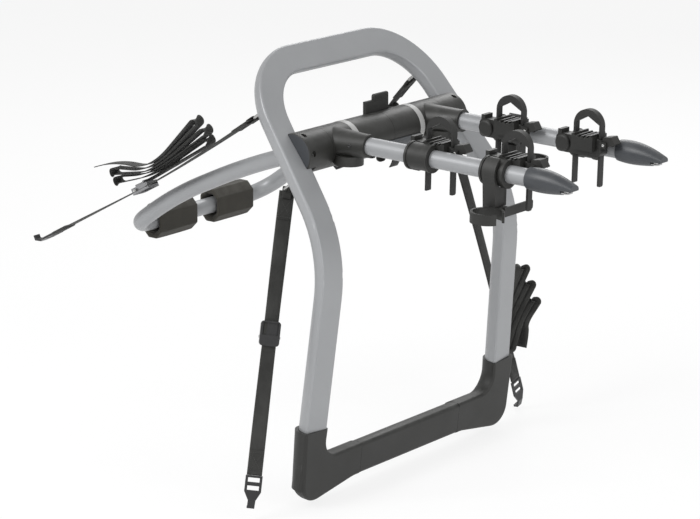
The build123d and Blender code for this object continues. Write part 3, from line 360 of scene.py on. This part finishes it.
def weave_group():
    """Ribbed tape weave: u runs along the tape and v across it, both in metres."""
    tree, given, out = group(
        "tape_weave",
        [("Vector", "Vector", None), ("Warp Pitch", "Float", 0.0014), ("Weft Pitch", "Float", 0.0011)],
        [("Height", "Float"), ("Thread_Shade", "Float"), ("Selvedge", "Float")],
    )
    parts = tree.nodes.new("ShaderNodeSeparateXYZ")
    tree.links.new(given.outputs["Vector"], parts.inputs[0])
    along, across = parts.outputs["X"], parts.outputs["Y"]
    warp = sums(tree, "DIVIDE", across, given.outputs["Warp Pitch"])
    odd = sums(tree, "MULTIPLY", sums(tree, "FLOOR", warp), 0.5)
    weft = sums(tree, "ADD", sums(tree, "DIVIDE", along, given.outputs["Weft Pitch"]), odd)
    rib = sums(tree, "ABSOLUTE", sums(tree, "SINE", sums(tree, "MULTIPLY", warp, math.pi)))
    float_over = sums(tree, "ABSOLUTE", sums(tree, "SINE", sums(tree, "MULTIPLY", weft, math.pi)))
    height = sums(tree, "MULTIPLY", rib, sums(tree, "ADD", sums(tree, "MULTIPLY", float_over, 0.6), 0.4))
    fuzz = noise(tree, given.outputs["Vector"], 2600.0, 2)
    edge = ramp(tree, sums(tree, "ABSOLUTE", across), 0.0098, 0.0112)
    tree.links.new(sums(tree, "ADD", height, sums(tree, "MULTIPLY", fuzz, 0.25)), out.inputs["Height"])
    # The weave height again, given out only for painted shade between the threads and painted highlight on
    # their crowns.
    tree.links.new(height, out.inputs["Thread_Shade"])
    tree.links.new(edge, out.inputs["Selvedge"])
    return tree


grain, dust, scuffs, weave = grain_group(), dust_group(), scuff_group(), weave_group()


class Finish:
    """One material under construction."""

    def __init__(self, name, roughness, metallic=0.0, **sockets):
        self.material = bpy.data.materials.new(name)
        self.material.use_nodes = True
        self.tree = self.material.node_tree
        self.shader = self.tree.nodes["Principled BSDF"]
        self.shader.inputs["Metallic"].default_value = metallic
        self.shader.inputs["Roughness"].default_value = roughness
        for label, value in sockets.items():
            self.shader.inputs[label.replace("_", " ")].default_value = value
        self.coords = self.tree.nodes.new("ShaderNodeTexCoord")
        self.colour = None

    def place(self, made_group, **values):
        made = self.tree.nodes.new("ShaderNodeGroup")
        made.node_tree = made_group
        for label, value in values.items():
            feed(self.tree, made.inputs[label.replace("_", " ")], value)
        return made.outputs

    def blend(self, low, high, factor):
        """Mixes two colours, either of which may be a socket."""
        made = self.tree.nodes.new("ShaderNodeMix")
        made.data_type = "RGBA"
        feed(self.tree, made.inputs[0], factor)
        feed(self.tree, made.inputs[6], low if isinstance(low, bpy.types.NodeSocket) else (*low, 1))
        feed(self.tree, made.inputs[7], high if isinstance(high, bpy.types.NodeSocket) else (*high, 1))
        return made.outputs[2]

    def done(self, colour, height=None, distance=0.0001, strength=0.5, roughness=None):
        self.tree.links.new(colour, self.shader.inputs["Base Color"])
        if roughness is not None:
            self.tree.links.new(roughness, self.shader.inputs["Roughness"])
        if height is not None:
            bump = self.tree.nodes.new("ShaderNodeBump")
            bump.inputs["Distance"].default_value = distance
            bump.inputs["Strength"].default_value = strength
            self.tree.links.new(height, bump.inputs["Height"])
            self.tree.links.new(bump.outputs["Normal"], self.shader.inputs["Normal"])
        return self.material


def shade(colour, amount):
    return tuple(c * amount for c in colour)


def moulded(name, colour, roughness, grain_scale=900.0, dust_amount=0.18, depth=0.00012, end_colour=None):
    """Grained plastic with a little dust and handling, and another colour at the hub's two ends."""
    made = Finish(name, roughness)
    place = made.coords.outputs["Object"]
    surface = made.place(grain, Vector=place, Grain_Scale=grain_scale)
    film = made.place(dust, Vector=place, Amount=dust_amount)["Mask"]
    worn = made.place(scuffs, Vector=place, Amount=0.16)["Mask"]
    base = made.blend(shade(colour, 0.86), shade(colour, 1.16), surface["Mottle"])
    if end_colour:
        parts = made.tree.nodes.new("ShaderNodeSeparateXYZ")
        made.tree.links.new(place, parts.inputs[0])
        reach = sums(made.tree, "ABSOLUTE", parts.outputs["X"])
        base = made.blend(base, end_colour, sums(made.tree, "GREATER_THAN", reach, hub_cap_face))
    base = made.blend(base, shade(colour, 1.9), worn)
    base = made.blend(base, (0.34, 0.34, 0.33), film)
    rough = ramp(made.tree, surface["Mottle"], 0.0, 1.0, roughness - 0.05, roughness + 0.07)
    polish = sums(made.tree, "MULTIPLY", worn, -0.3)
    return made.done(base, surface["Height"], depth, 0.45, sums(made.tree, "ADD", rough, polish))


def coated(name, colour, roughness, metallic, dust_amount=0.06):
    """Powder coat: orange peel, fine flake and soft scratches."""
    made = Finish(name, roughness, metallic, Coat_Weight=0.18, Coat_Roughness=0.25)
    place = made.coords.outputs["Object"]
    surface = made.place(grain, Vector=place, Grain_Scale=420.0, Mottle_Scale=7.0)
    flake = noise(made.tree, place, 5200.0, 1)
    worn = made.place(scuffs, Vector=place, Amount=0.22)["Mask"]
    film = made.place(dust, Vector=place, Amount=dust_amount)["Mask"]
    base = made.blend(shade(colour, 0.94), shade(colour, 1.05), surface["Mottle"])
    base = made.blend(base, shade(colour, 1.14), ramp(made.tree, flake, 0.5, 0.75, 0.0, 0.6))
    base = made.blend(base, shade(colour, 0.8), worn)
    base = made.blend(base, (0.42, 0.41, 0.4), film)
    rough = ramp(made.tree, surface["Mottle"], 0.0, 1.0, roughness - 0.04, roughness + 0.05)
    return made.done(base, surface["Height"], 0.00006, 0.22, rough)


def steel(name, colour, roughness, line_stretch=(6.0, 260.0, 260.0)):
    """Drawn or plated steel with fine lines."""
    made = Finish(name, roughness, 0.9)
    place = made.coords.outputs["Object"]
    mapping = made.tree.nodes.new("ShaderNodeMapping")
    mapping.inputs["Scale"].default_value = line_stretch
    made.tree.links.new(place, mapping.inputs["Vector"])
    lines = noise(made.tree, mapping.outputs["Vector"], 9.0, 4)
    surface = made.place(grain, Vector=place, Mottle_Scale=40.0)
    base = made.blend(shade(colour, 0.8), shade(colour, 1.1), lines)
    base = made.blend(base, shade(colour, 0.62), sums(made.tree, "MULTIPLY", surface["Mottle"], 0.4))
    rough = ramp(made.tree, lines, 0.2, 0.8, roughness - 0.08, roughness + 0.1)
    return made.done(base, lines, 0.00003, 0.4, rough)


def woven(name, colour):
    """Black tape with ribs, floats and selvedges, its threads painted darker in their grooves as shade and
    lighter on their crowns as highlight.
    """
    made = Finish(name, 0.82, Sheen_Weight=0.12, Sheen_Roughness=0.5)
    flat = made.coords.outputs["UV"]
    tape = made.place(weave, Vector=flat)
    slow = made.place(grain, Vector=made.coords.outputs["Object"], Mottle_Scale=26.0)["Mottle"]
    # Painted shade and highlight: the tape is darker in the grooves between threads and lighter on their
    # crowns, following the weave's height.
    base = made.blend(shade(colour, 0.45), shade(colour, 1.35), tape["Thread_Shade"])
    base = made.blend(base, shade(colour, 1.5), sums(made.tree, "MULTIPLY", tape["Selvedge"], 0.35))
    base = made.blend(base, (0.11, 0.11, 0.105), sums(made.tree, "MULTIPLY", slow, 0.22))
    return made.done(base, tape["Height"], 0.00035, 0.85)


def foamed(name, colour):
    """Closed cell foam: a skin, painted shade in the pits of its fine grain, and faint press marks."""
    made = Finish(name, 0.88, Sheen_Weight=0.08)
    place = made.coords.outputs["Object"]
    cells = made.place(grain, Vector=place, Grain_Scale=620.0, Mottle_Scale=18.0)
    pore_shade = made.place(grain, Vector=place, Grain_Scale=1700.0, Mottle_Scale=60.0)
    film = made.place(dust, Vector=place, Amount=0.16)["Mask"]
    base = made.blend(shade(colour, 0.82), shade(colour, 1.15), cells["Mottle"])
    # Painted shade: the low spots of a fine grain are darkened as if shaded inside the foam's pits.
    base = made.blend(base, shade(colour, 0.6), ramp(made.tree, pore_shade["Height"], 0.35, 0.2, 0.0, 0.5))
    base = made.blend(base, (0.3, 0.29, 0.27), film)
    return made.done(base, cells["Height"], 0.0004, 0.6)


silver = coated("silver_powder_coat", (0.325, 0.332, 0.342), 0.46, 0.3)
black = moulded("black_nylon", (0.017, 0.017, 0.0155), 0.5, dust_amount=0.09)
hub_black = moulded("hub_nylon", (0.021, 0.021, 0.019), 0.46, dust_amount=0.09)
blue_grey = moulded("blue_grey_nylon", (0.046, 0.05, 0.056), 0.4, 1200.0, 0.1)
pale_grey = moulded("pale_grey_nylon", (0.4, 0.4, 0.395), 0.42, 1200.0, 0.05)
band_rubber = moulded("strap_elastomer", (0.02, 0.02, 0.019), 0.62, 700.0, 0.1)
cap_black = moulded(
    "hub_cap_nylon", (0.021, 0.021, 0.019), 0.46, dust_amount=0.09, end_colour=(0.046, 0.05, 0.056)
)
foam = foamed("pad_foam", (0.037, 0.034, 0.027))
tape_black = woven("strap_webbing", (0.02, 0.02, 0.018))
thread_black = moulded("sewing_thread", (0.05, 0.05, 0.048), 0.7, 3000.0, 0.1)
hook_coat = coated("dipped_hook_coat", (0.02, 0.02, 0.021), 0.42, 0.2, 0.08)
buckle_steel = steel("satin_buckle_steel", (0.36, 0.36, 0.37), 0.38)
zinc = steel("zinc_plate", (0.5, 0.5, 0.49), 0.3)
opener_steel = steel("pressed_opener_steel", (0.48, 0.48, 0.48), 0.28, (260.0, 8.0, 260.0))

finishes = {
    "main_hoop": silver, "crossbar_tube": silver, "pad_hoop": silver, "arm_tube": silver,
    "crossbar_sleeve": black, "boot": black, "hub_cap": cap_black, "barrel": hub_black,
    "arm_socket": hub_black, "hub_skirt": blue_grey, "ring_bands": pale_grey,
    "release_lever": black, "hub_tube": zinc, "cap_screws": zinc, "lock_pin": zinc,
    "lever_spring": zinc, "strap_rings": zinc, "foam_pad": foam, "arm_end_cap": blue_grey,
    "bottle_opener": opener_steel, "cradle": black, "arch_strap": band_rubber,
    "strap_lever": black, "anti_sway_arm": black, "anti_sway_strap": band_rubber,
    "webbing": tape_black, "bundle": tape_black, "hook": hook_coat, "buckle": hook_coat,
}
for name, shown in nodes.items():
    start = max((key for key in finishes if name.startswith(key)), key=len)
    for index in range(len(shown.material_slots)):
        shown.material_slots[index].material = finishes[start]
for slot in nodes["buckle_top_left"].material_slots:
    slot.material = buckle_steel

# Straps and their folded spare. Each strap's points run from its ring to its hook.
strap_runs = {
    "top_left": (
        (-0.2088, 0.1241, 0.5578), (-0.2088, 0.2905, 0.4496),
        (-0.2088, 0.4705, 0.3546), (-0.2088, 0.5775, 0.2976),
    ),
    "top_right": (
        (0.2088, 0.1237, 0.5573), (0.2088, 0.1755, 0.5016), (0.2088, 0.2455, 0.4166),
    ),
    "bottom_left": (
        (-0.2247, 0.0434, 0.4534), (-0.2820, 0.0275, 0.2706), (-0.3570, 0.0045, 0.0186),
    ),
    "bottom_right": (
        (0.2251, 0.0433, 0.4526), (0.2950, 0.0235, 0.2456), (0.3640, 0.0045, 0.0026),
    ),
}
fold_pitch = 0.0023


def folded_route(
    origin, across, start, waist, row_way, back_tips, front_tips, tip_half, tail, layer_way, layers
):
    """Route points of folded spare tape: legs from one waist to every tip and back.

    Each fold lies in the plane of across and up, its places measured from origin. The
    layers are the first leg's place along layer_way and the step from each leg to the next.
    """
    waist = Vector((*waist, 0))
    row_step = Vector((*row_way, 0)).normalized() * fold_pitch
    tips = [tip for pair in zip(back_tips, front_tips) for tip in pair] + list(back_tips[len(front_tips):])
    rows = [waist + row_step * (row - (len(tips) + 1) / 2) for row in range(len(tips) + 1)]
    first, step = layers
    spots = [(Vector((*start, 0)), 0)]
    for row, tip in enumerate(tips):
        tip = Vector((*tip, 0))
        way = (tip - waist).normalized()
        side = Vector((-way.y, way.x, 0)) * tip_half
        if side.dot(row_step) > 0:
            side = -side
        near, far = tip + side, tip - side
        before = near + (rows[row] - near).normalized() * 2 * tip_half
        after = far + (rows[row + 1] - far).normalized() * 2 * tip_half
        here, beyond = first + step * row, first + step * (row + 1)
        spots += [(rows[row], here), (before, here), (near, here), (far, beyond), (after, beyond)]
    last = first + step * len(tips)
    spots += [(spot, last) for spot in [rows[-1], *(Vector((*spot, 0)) for spot in tail)]]
    return [origin + across * spot.x + up_way * spot.y + layer_way * layer for spot, layer in spots]


hub_exact = Vector((0, 0.0405045, 0.510644))
ring_side = 0.20882
spare_runs = {
    "top_left": folded_route(
        origin=hub_exact - across_hub * ring_side, across=toward_vehicle,
        start=(0.325, -0.0925), waist=(0.303, -0.072), row_way=(0, 1),
        back_tips=[(0.181, -0.001), (0.185, 0.015), (0.204, 0.027)],
        front_tips=[(0.386, -0.096), (0.392, -0.082)],
        tip_half=0.0055, tail=[(0.385, -0.064), (0.428, -0.080)],
        layer_way=view_way, layers=(-0.0238, 0.0095),
    ),
    "top_right": folded_route(
        origin=hub_exact + across_hub * ring_side, across=toward_vehicle,
        start=(0.167, -0.0585), waist=(0.147, -0.064), row_way=(-0.77, -0.64),
        back_tips=[(0.120, -0.004), (0.110, -0.011), (0.101, -0.020), (0.092, -0.028)],
        front_tips=[(0.192, -0.092), (0.181, -0.099), (0.172, -0.107)],
        tip_half=0.0032, tail=[(0.150, -0.114), (0.158, -0.124)],
        layer_way=across_hub, layers=(-0.010, 0.0080),
    ),
    "bottom_right": folded_route(
        origin=hub_exact - toward_vehicle * 0.009, across=across_hub,
        start=(0.331, -0.394), waist=(0.352, -0.392), row_way=(0.75, -0.65),
        back_tips=[(0.411, -0.313), (0.404, -0.338), (0.394, -0.364)],
        front_tips=[(0.316, -0.427), (0.329, -0.440)],
        tip_half=0.003, tail=[(0.360, -0.412), (0.352, -0.440)],
        layer_way=toward_vehicle, layers=(0.0, -0.0092),
    ),
}
width_ways = {
    "top_left": across_hub, "top_right": across_hub,
    "bottom_left": Vector((1, -1, 0)).normalized(), "bottom_right": across_hub,
}
spare_ways = {"top_left": across_hub, "top_right": across_hub, "bottom_right": toward_vehicle}


def smooth_line(points, steps):
    """Points read from the route's own spline."""
    curve = bpy.data.curves.new("route", "CURVE")
    curve.dimensions = "3D"
    curve.resolution_u = steps
    spline = curve.splines.new("NURBS")
    spline.points.add(len(points) - 1)
    for point, place in zip(spline.points, points):
        point.co = (*place, 1)
    spline.order_u = 3
    spline.use_endpoint_u = True
    holder = bpy.data.objects.new("route", curve)
    scene.collection.objects.link(holder)
    reader = bpy.context.evaluated_depsgraph_get()
    mesh = bpy.data.meshes.new_from_object(holder.evaluated_get(reader))
    line = [v.co.copy() for v in mesh.vertices]
    bpy.data.meshes.remove(mesh)
    bpy.data.objects.remove(holder)
    bpy.data.curves.remove(curve)
    return line


def line_length(line):
    return sum((b - a).length for a, b in zip(line, line[1:]))


def tape_mesh(line, width_way, width=tape_width, thickness=tape_thickness, twist=None):
    """A flat band along a line, round at its edges, its UV in metres along and across."""
    half, lift_half = width / 2, thickness / 2
    flat = half - lift_half
    profile = [
        (-half, 0), (-half + lift_half, lift_half), (-half / 2, lift_half), (0, lift_half),
        (half / 2, lift_half), (flat, lift_half), (half, 0), (flat, -lift_half),
        (half / 2, -lift_half), (0, -lift_half), (-half / 2, -lift_half), (-half + lift_half, -lift_half),
    ]
    verts, faces, uvs = [], [], []
    total, reach = line_length(line), 0.0
    for index, point in enumerate(line):
        before, after = line[max(index - 1, 0)], line[min(index + 1, len(line) - 1)]
        if index:
            reach += (point - line[index - 1]).length
        way = (after - before).normalized()
        side, lift = frame_from(way, width_way)
        if twist:
            angle = twist(reach / total)
            cosine, sine = math.cos(angle), math.sin(angle)
            side, lift = side * cosine + lift * sine, lift * cosine - side * sine
        for x, y in profile:
            verts.append(point + side * x + lift * y)
            uvs.append((reach, x))
    count = len(profile)
    for ring in range(len(line) - 1):
        for k in range(count):
            m = (k + 1) % count
            faces.append((ring * count + k, ring * count + m, (ring + 1) * count + m, (ring + 1) * count + k))
    faces.append(tuple(range(count)))
    faces.append(tuple(range((len(line) - 1) * count, len(line) * count)))
    return closed_mesh("tape", verts, faces, True, uvs)


def at_reach(line, reach, width_way):
    """Place, way, side and lift of a line at a distance from its start."""
    for a, b in zip(line, line[1:]):
        step = (b - a).length
        if reach <= step or b is line[-1]:
            way = (b - a).normalized()
            side, lift = frame_from(way, width_way)
            return a + way * reach, way, side, lift
        reach -= step


def stitch_box(line, width_way, start, length, lift_by):
    """Rows of stitches round a box on the tape, with a cross inside it."""
    found = []
    for face in (1, -1):
        a, _, side, lift = at_reach(line, start, width_way)
        b = at_reach(line, start + length, width_way)[0]
        half = tape_width / 2 - 0.0028
        rise = lift * lift_by * face
        corners = [
            a - side * half + rise, a + side * half + rise,
            b + side * half + rise, b - side * half + rise,
        ]
        seams = [(0, 1), (1, 2), (2, 3), (3, 0), (0, 2), (1, 3)]
        for i, j in seams:
            run = corners[j] - corners[i]
            count = max(3, int(run.length / 0.0029))
            unit = capsule(run.normalized(), 0.0022, 0.00042)
            found.append(row_mesh(unit, corners[i], corners[j], count, thread_black))
    return found


strap_lines = {}
for name, points in strap_runs.items():
    line = smooth_line(points, 14)
    strap_lines[name] = line
    swing = 0.3 if name == "bottom_left" else 0.12
    twist = lambda share, most=swing: most * math.sin(math.pi * share) ** 2
    mesh = tape_mesh(line, width_ways[name], twist=twist)
    strap = piece(f"strap_{name}", mesh, tape_black, "frame")
    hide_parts(f"webbing_{name}")
for name, points in spare_runs.items():
    line = smooth_line(points, 8)
    mesh = tape_mesh(line, spare_ways[name])
    spare = piece(f"spare_{name}", mesh, tape_black, "frame")
    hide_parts(f"bundle_{name}")

# Sewn patches where each strap is looped on its ring, and above its hook
patch_length = 0.03
patch_start = 0.012
hook_gap = 0.036
patch_margin = 0.004
for name, line in strap_lines.items():
    total = line_length(line)
    sewn = []
    for start in (patch_start, total - hook_gap):
        for face in (1, -1):
            a, way, side, lift = at_reach(line, start - patch_margin, width_ways[name])
            b = at_reach(line, start + patch_length + patch_margin, width_ways[name])[0]
            rise = lift * (tape_thickness / 2 + 0.0006) * face
            steps = [a + rise + (b - a) * share for share in (0, 0.33, 0.67, 1)]
            sewn.append(tape_mesh(steps, width_ways[name], tape_width - 0.0006, 0.0012))
    piece(f"sewn_patch_{name}", join(f"sewn_patch_{name}", sewn), tape_black, "frame")
    stitches = []
    for start in (patch_start, total - hook_gap):
        stitches += stitch_box(line, width_ways[name], start, patch_length, tape_thickness / 2 + 0.00135)
    piece(f"stitches_{name}", join(f"stitches_{name}", stitches), thread_black, "frame")

# Loops of tape round the ring wires
loop_radius = 0.0037
loop_steps = 12
loop_leg = 0.012
for name, line in strap_lines.items():
    start, way, side, lift = at_reach(line, 0.0, width_ways[name])
    wire = start - way * 0.0033
    turn = []
    for step in range(loop_steps + 1):
        angle = math.radians(-100 + step * 200 / loop_steps)
        turn.append(wire - way * math.cos(angle) * loop_radius + lift * math.sin(angle) * loop_radius)
    leg_ends = [start + way * loop_leg + lift * (end - wire).dot(lift) for end in (turn[0], turn[-1])]
    path = [leg_ends[0], *turn, leg_ends[1]]
    piece(f"ring_loop_{name}", tape_mesh(path, side, 0.0148, 0.0011), tape_black, "frame")

# Foam pads
def foam_block(node):
    """A faceted foam block, hollow for its tube, eased at every edge."""
    low, high = (Vector(c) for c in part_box(node))
    centre = (low + high) / 2
    half = (high - low) / 2
    cut = 0.0135
    outline = [
        (-half.y + cut, -half.z), (half.y - cut, -half.z), (half.y, -half.z + cut), (half.y, half.z - cut),
        (half.y - cut, half.z), (-half.y + cut, half.z), (-half.y, half.z - cut), (-half.y, -half.z + cut),
    ]
    bore = 0.0146
    rings = [(-half.x, 0.93), (-half.x + 0.002, 0.985), (-half.x + 0.005, 1.0), (-half.x / 2, 1.0), (0, 1.0),
             (half.x / 2, 1.0), (half.x - 0.005, 1.0), (half.x - 0.002, 0.985), (half.x, 0.93)]
    dense = []
    for (y0, z0), (y1, z1) in zip(outline, outline[1:] + outline[:1]):
        for share in (0.03, 0.12, 0.5, 0.88, 0.97):
            dense.append((y0 + (y1 - y0) * share, z0 + (z1 - z0) * share))
    count = len(dense)
    verts, faces = [], []
    for x, size in rings:
        verts += [centre + Vector((x, y * size, z * size)) for y, z in dense]
    for x in (half.x, -half.x):
        for y, z in dense:
            reach = math.hypot(y, z)
            verts.append(centre + Vector((x, y / reach * bore, z / reach * bore)))
    total = len(rings) + 2
    for ring in range(total):
        follow = (ring + 1) % total
        for k in range(count):
            m = (k + 1) % count
            faces.append((ring * count + k, ring * count + m, follow * count + m, follow * count + k))
    return closed_mesh(node, verts, faces)


def swollen(mesh, pressure, cap):
    """Lets the foam's skin settle by a short cloth run, held near where it was."""
    rest = [v.co.copy() for v in mesh.vertices]
    holder = bpy.data.objects.new("foam_run", mesh)
    scene.collection.objects.link(holder)
    cloth = holder.modifiers.new("cloth", "CLOTH")
    cloth.settings.use_pressure = True
    cloth.settings.uniform_pressure_force = pressure
    cloth.settings.effector_weights.gravity = 0
    cloth.settings.tension_stiffness = 40
    cloth.settings.compression_stiffness = 40
    cloth.settings.bending_stiffness = 20
    for step in range(1, 21):
        scene.frame_set(step)
    reader = bpy.context.evaluated_depsgraph_get()
    moved = holder.evaluated_get(reader)
    places = [v.co.copy() for v in moved.data.vertices]
    bpy.data.objects.remove(holder)
    scene.frame_set(1)
    for vert, was, now in zip(mesh.vertices, rest, places):
        shift = now - was
        if shift.length > cap:
            shift = shift.normalized() * cap
        vert.co = was + shift
    return mesh


for side_name in ("left", "right"):
    mesh = foam_block(f"foam_pad_{side_name}")
    swollen(mesh, 2.0, 0.0012)
    pad = piece(f"pad_foam_{side_name}", mesh, foam, "pad_frame")
    ease = pad.modifiers.new("ease", "SUBSURF")
    ease.levels = ease.render_levels = 2
    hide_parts(f"foam_pad_{side_name}")


# Fasteners and small mouldings
def screw(centre, way, radius=0.0042):
    """A button head with a round recess."""
    profile = [
        (radius, -0.002), (radius, 0), (radius * 0.94, radius * 0.28), (radius * 0.7, radius * 0.5),
        (radius * 0.52, radius * 0.55), (radius * 0.48, radius * 0.1), (0, radius * 0.1),
    ]
    return turned(centre, way, profile, 24)


def arm_point(side, reach, outboard=0.0, rise=0.0):
    """A place by a bike arm: side is 1 on the right and -1 on the left."""
    root = Vector((side * (arm_side + outboard), hub_centre.y, hub_centre.z + arm_lift))
    return root + arm_way * reach + arm_up * rise


cradles = (("inner", -1, 0.212), ("outer", -1, 0.358), ("inner", 1, 0.202), ("outer", 1, 0.354))
side_names = {-1: "left", 1: "right"}

# The small dark screw on each arm socket's outer face, near its mouth
for side in (-1, 1):
    head = screw(arm_point(side, 0.062, 0.0203, 0), across_hub * side, 0.0032)
    piece(f"socket_screw_{side_names[side]}", head, hook_coat, f"arm_{side_names[side]}")

# Round plates under the sockets
for side in (-1, 1):
    centre = arm_point(side, 0.046, 0, -0.036)
    profile = [(0.0, -0.0010), (0.0195, -0.0010), (0.0205, -0.0004), (0.0208, 0.0006), (0.0, 0.0006)]
    plate = turned(centre, arm_up, profile, 48)
    piece(f"plain_disc_{side_names[side]}", plate, blue_grey, f"arm_{side_names[side]}")

# Heads of the pins that the strap levers turn on
lever_inboard = -0.024
lever_half_width = 0.0124
pin_head_radius = 0.0026
for row_name, side, reach in cradles:
    lever_body = f"strap_lever_{row_name}_{side_names[side]}"
    heads = []
    for end in (-1, 1):
        place = arm_point(side, reach + 0.035, lever_inboard + end * lever_half_width, 0.012)
        heads.append(screw(place, across_hub * side * end, pin_head_radius))
    pin_name = f"lever_pin_heads_{row_name}_{side_names[side]}"
    piece(pin_name, join("lever_pin_heads", heads), zinc, lever_body)

# Cam levers and cross pins of the strap buckles, each a share of the way along its strap's second part
buckle_shares = {"top_left": 0.44, "top_right": 0.4, "bottom_left": 0.14, "bottom_right": 0.62}
buckle_half_width = 0.0160
for name, share in buckle_shares.items():
    before, after = (Vector(place) for place in strap_runs[name][1:3])
    centre = before + (after - before) * share
    way = (after - before).normalized()
    side, lift = frame_from(way, width_ways[name])
    metal = buckle_steel if name == "top_left" else hook_coat
    cam = block(centre - way * 0.005 + lift * 0.0068, (0.0240, 0.0040, 0.0200), side, lift, 0.0012, 0.86)
    lip = block(centre - way * 0.0165 + lift * 0.0088, (0.0250, 0.0024, 0.0050), side, lift, 0.0009)
    piece(f"buckle_cam_{name}", join("buckle_cam", [cam, lip]), metal, "frame")
    pin_centre = centre + way * 0.006 + lift * 0.001
    ends = [screw(pin_centre + side * buckle_half_width * e, side * e, pin_head_radius) for e in (-1, 1)]
    piece(f"buckle_pins_{name}", join("buckle_pins", ends), zinc, "frame")

# A thin dark skin on each foot of the hoop, up to a height inside its boot
foot_top = 0.05
skin_gap = 0.0003
work = bmesh.new()
work.from_mesh(nodes["main_hoop"].data)
bmesh.ops.remove_doubles(work, verts=work.verts, dist=0.00001)
everything = work.verts[:] + work.edges[:] + work.faces[:]
bmesh.ops.bisect_plane(work, geom=everything, plane_co=(0, 0, foot_top), plane_no=(0, 0, 1), clear_outer=True)
work.normal_update()
sleeve = bpy.data.meshes.new("foot_sleeves")
for vert in work.verts:
    vert.co += vert.normal * skin_gap
work.to_mesh(sleeve)
work.free()
feet = piece("foot_sleeves", sleeve, black, "frame")
thick = feet.modifiers.new("wall", "SOLIDIFY")
thick.thickness = 0.0008
thick.offset = 1.0

# Grip ridges on the release lever's tall half
unit = block(Vector((0, 0, 0)), (0.0330, 0.0013, 0.0012), across_hub, up_way, 0.0004)
ridges = []
for face in (-1, 1):
    y = hub_centre.y + 0.010 + face * 0.0031
    ridges.append(row_mesh(unit.copy(), Vector((0.0255, y, 0.5615)), Vector((0.0255, y, 0.5695)), 4, black))
piece("lever_ridges", join("lever_ridges", ridges), black, "release_lever")


# Floor, backdrop and light
def studio():
    """A white floor that keeps a soft shadow, a white world to the camera, and plain lamps."""
    paper = bpy.data.materials.new("white_floor")
    paper.use_nodes = True
    tree = paper.node_tree
    shader = tree.nodes["Principled BSDF"]
    shader.inputs["Base Color"].default_value = (0.93, 0.93, 0.93, 1)
    shader.inputs["Roughness"].default_value = 0.9
    shader.inputs["Specular IOR Level"].default_value = 0.0
    glow = tree.nodes.new("ShaderNodeEmission")
    glow.inputs["Strength"].default_value = 1.0
    path = tree.nodes.new("ShaderNodeLightPath")
    seen = sums(tree, "MAXIMUM", path.outputs["Is Camera Ray"], path.outputs["Is Glossy Ray"])
    seen = sums(tree, "MAXIMUM", seen, path.outputs["Is Transmission Ray"])
    blend = tree.nodes.new("ShaderNodeMixShader")
    tree.links.new(sums(tree, "MULTIPLY", seen, 0.8), blend.inputs[0])
    tree.links.new(shader.outputs[0], blend.inputs[1])
    tree.links.new(glow.outputs[0], blend.inputs[2])
    tree.links.new(blend.outputs[0], tree.nodes["Material Output"].inputs["Surface"])
    low = cad_box[0][2] - 0.004
    reach = 14
    corners = [(-reach, -reach, low), (reach, -reach, low), (reach, reach, low), (-reach, reach, low)]
    mesh = bpy.data.meshes.new("floor")
    mesh.from_pydata(corners, [], [(0, 1, 2, 3)])
    mesh.materials.append(paper)
    floor = bpy.data.objects.new("floor", mesh)
    scene.collection.objects.link(floor)
    world = bpy.data.worlds.new("studio")
    world.use_nodes = True
    scene.world = world
    tree = world.node_tree
    soft = tree.nodes["Background"]
    soft.inputs["Color"].default_value = (1, 1, 1, 1)
    soft.inputs["Strength"].default_value = 0.62
    white = tree.nodes.new("ShaderNodeBackground")
    white.inputs["Strength"].default_value = 1.0
    path = tree.nodes.new("ShaderNodeLightPath")
    blend = tree.nodes.new("ShaderNodeMixShader")
    tree.links.new(path.outputs["Is Camera Ray"], blend.inputs[0])
    tree.links.new(soft.outputs[0], blend.inputs[1])
    tree.links.new(white.outputs[0], blend.inputs[2])
    tree.links.new(blend.outputs[0], tree.nodes["World Output"].inputs["Surface"])
    for name, place, size, power in (
        ("key_lamp", (-2.6, 0.9, 2.6), 1.6, 62.0),
        ("front_lamp", (-0.6, -3.2, 1.6), 2.2, 34.0),
        ("rim_lamp", (2.4, 1.2, 2.2), 1.4, 26.0),
    ):
        lamp = bpy.data.lights.new(name, "AREA")
        lamp.shape = "SQUARE"
        lamp.size = size
        lamp.energy = power
        made = bpy.data.objects.new(name, lamp)
        made.location = place
        made.rotation_euler = (Vector((0, 0, 0.35)) - Vector(place)).to_track_quat("-Z", "Y").to_euler()
        scene.collection.objects.link(made)


studio()
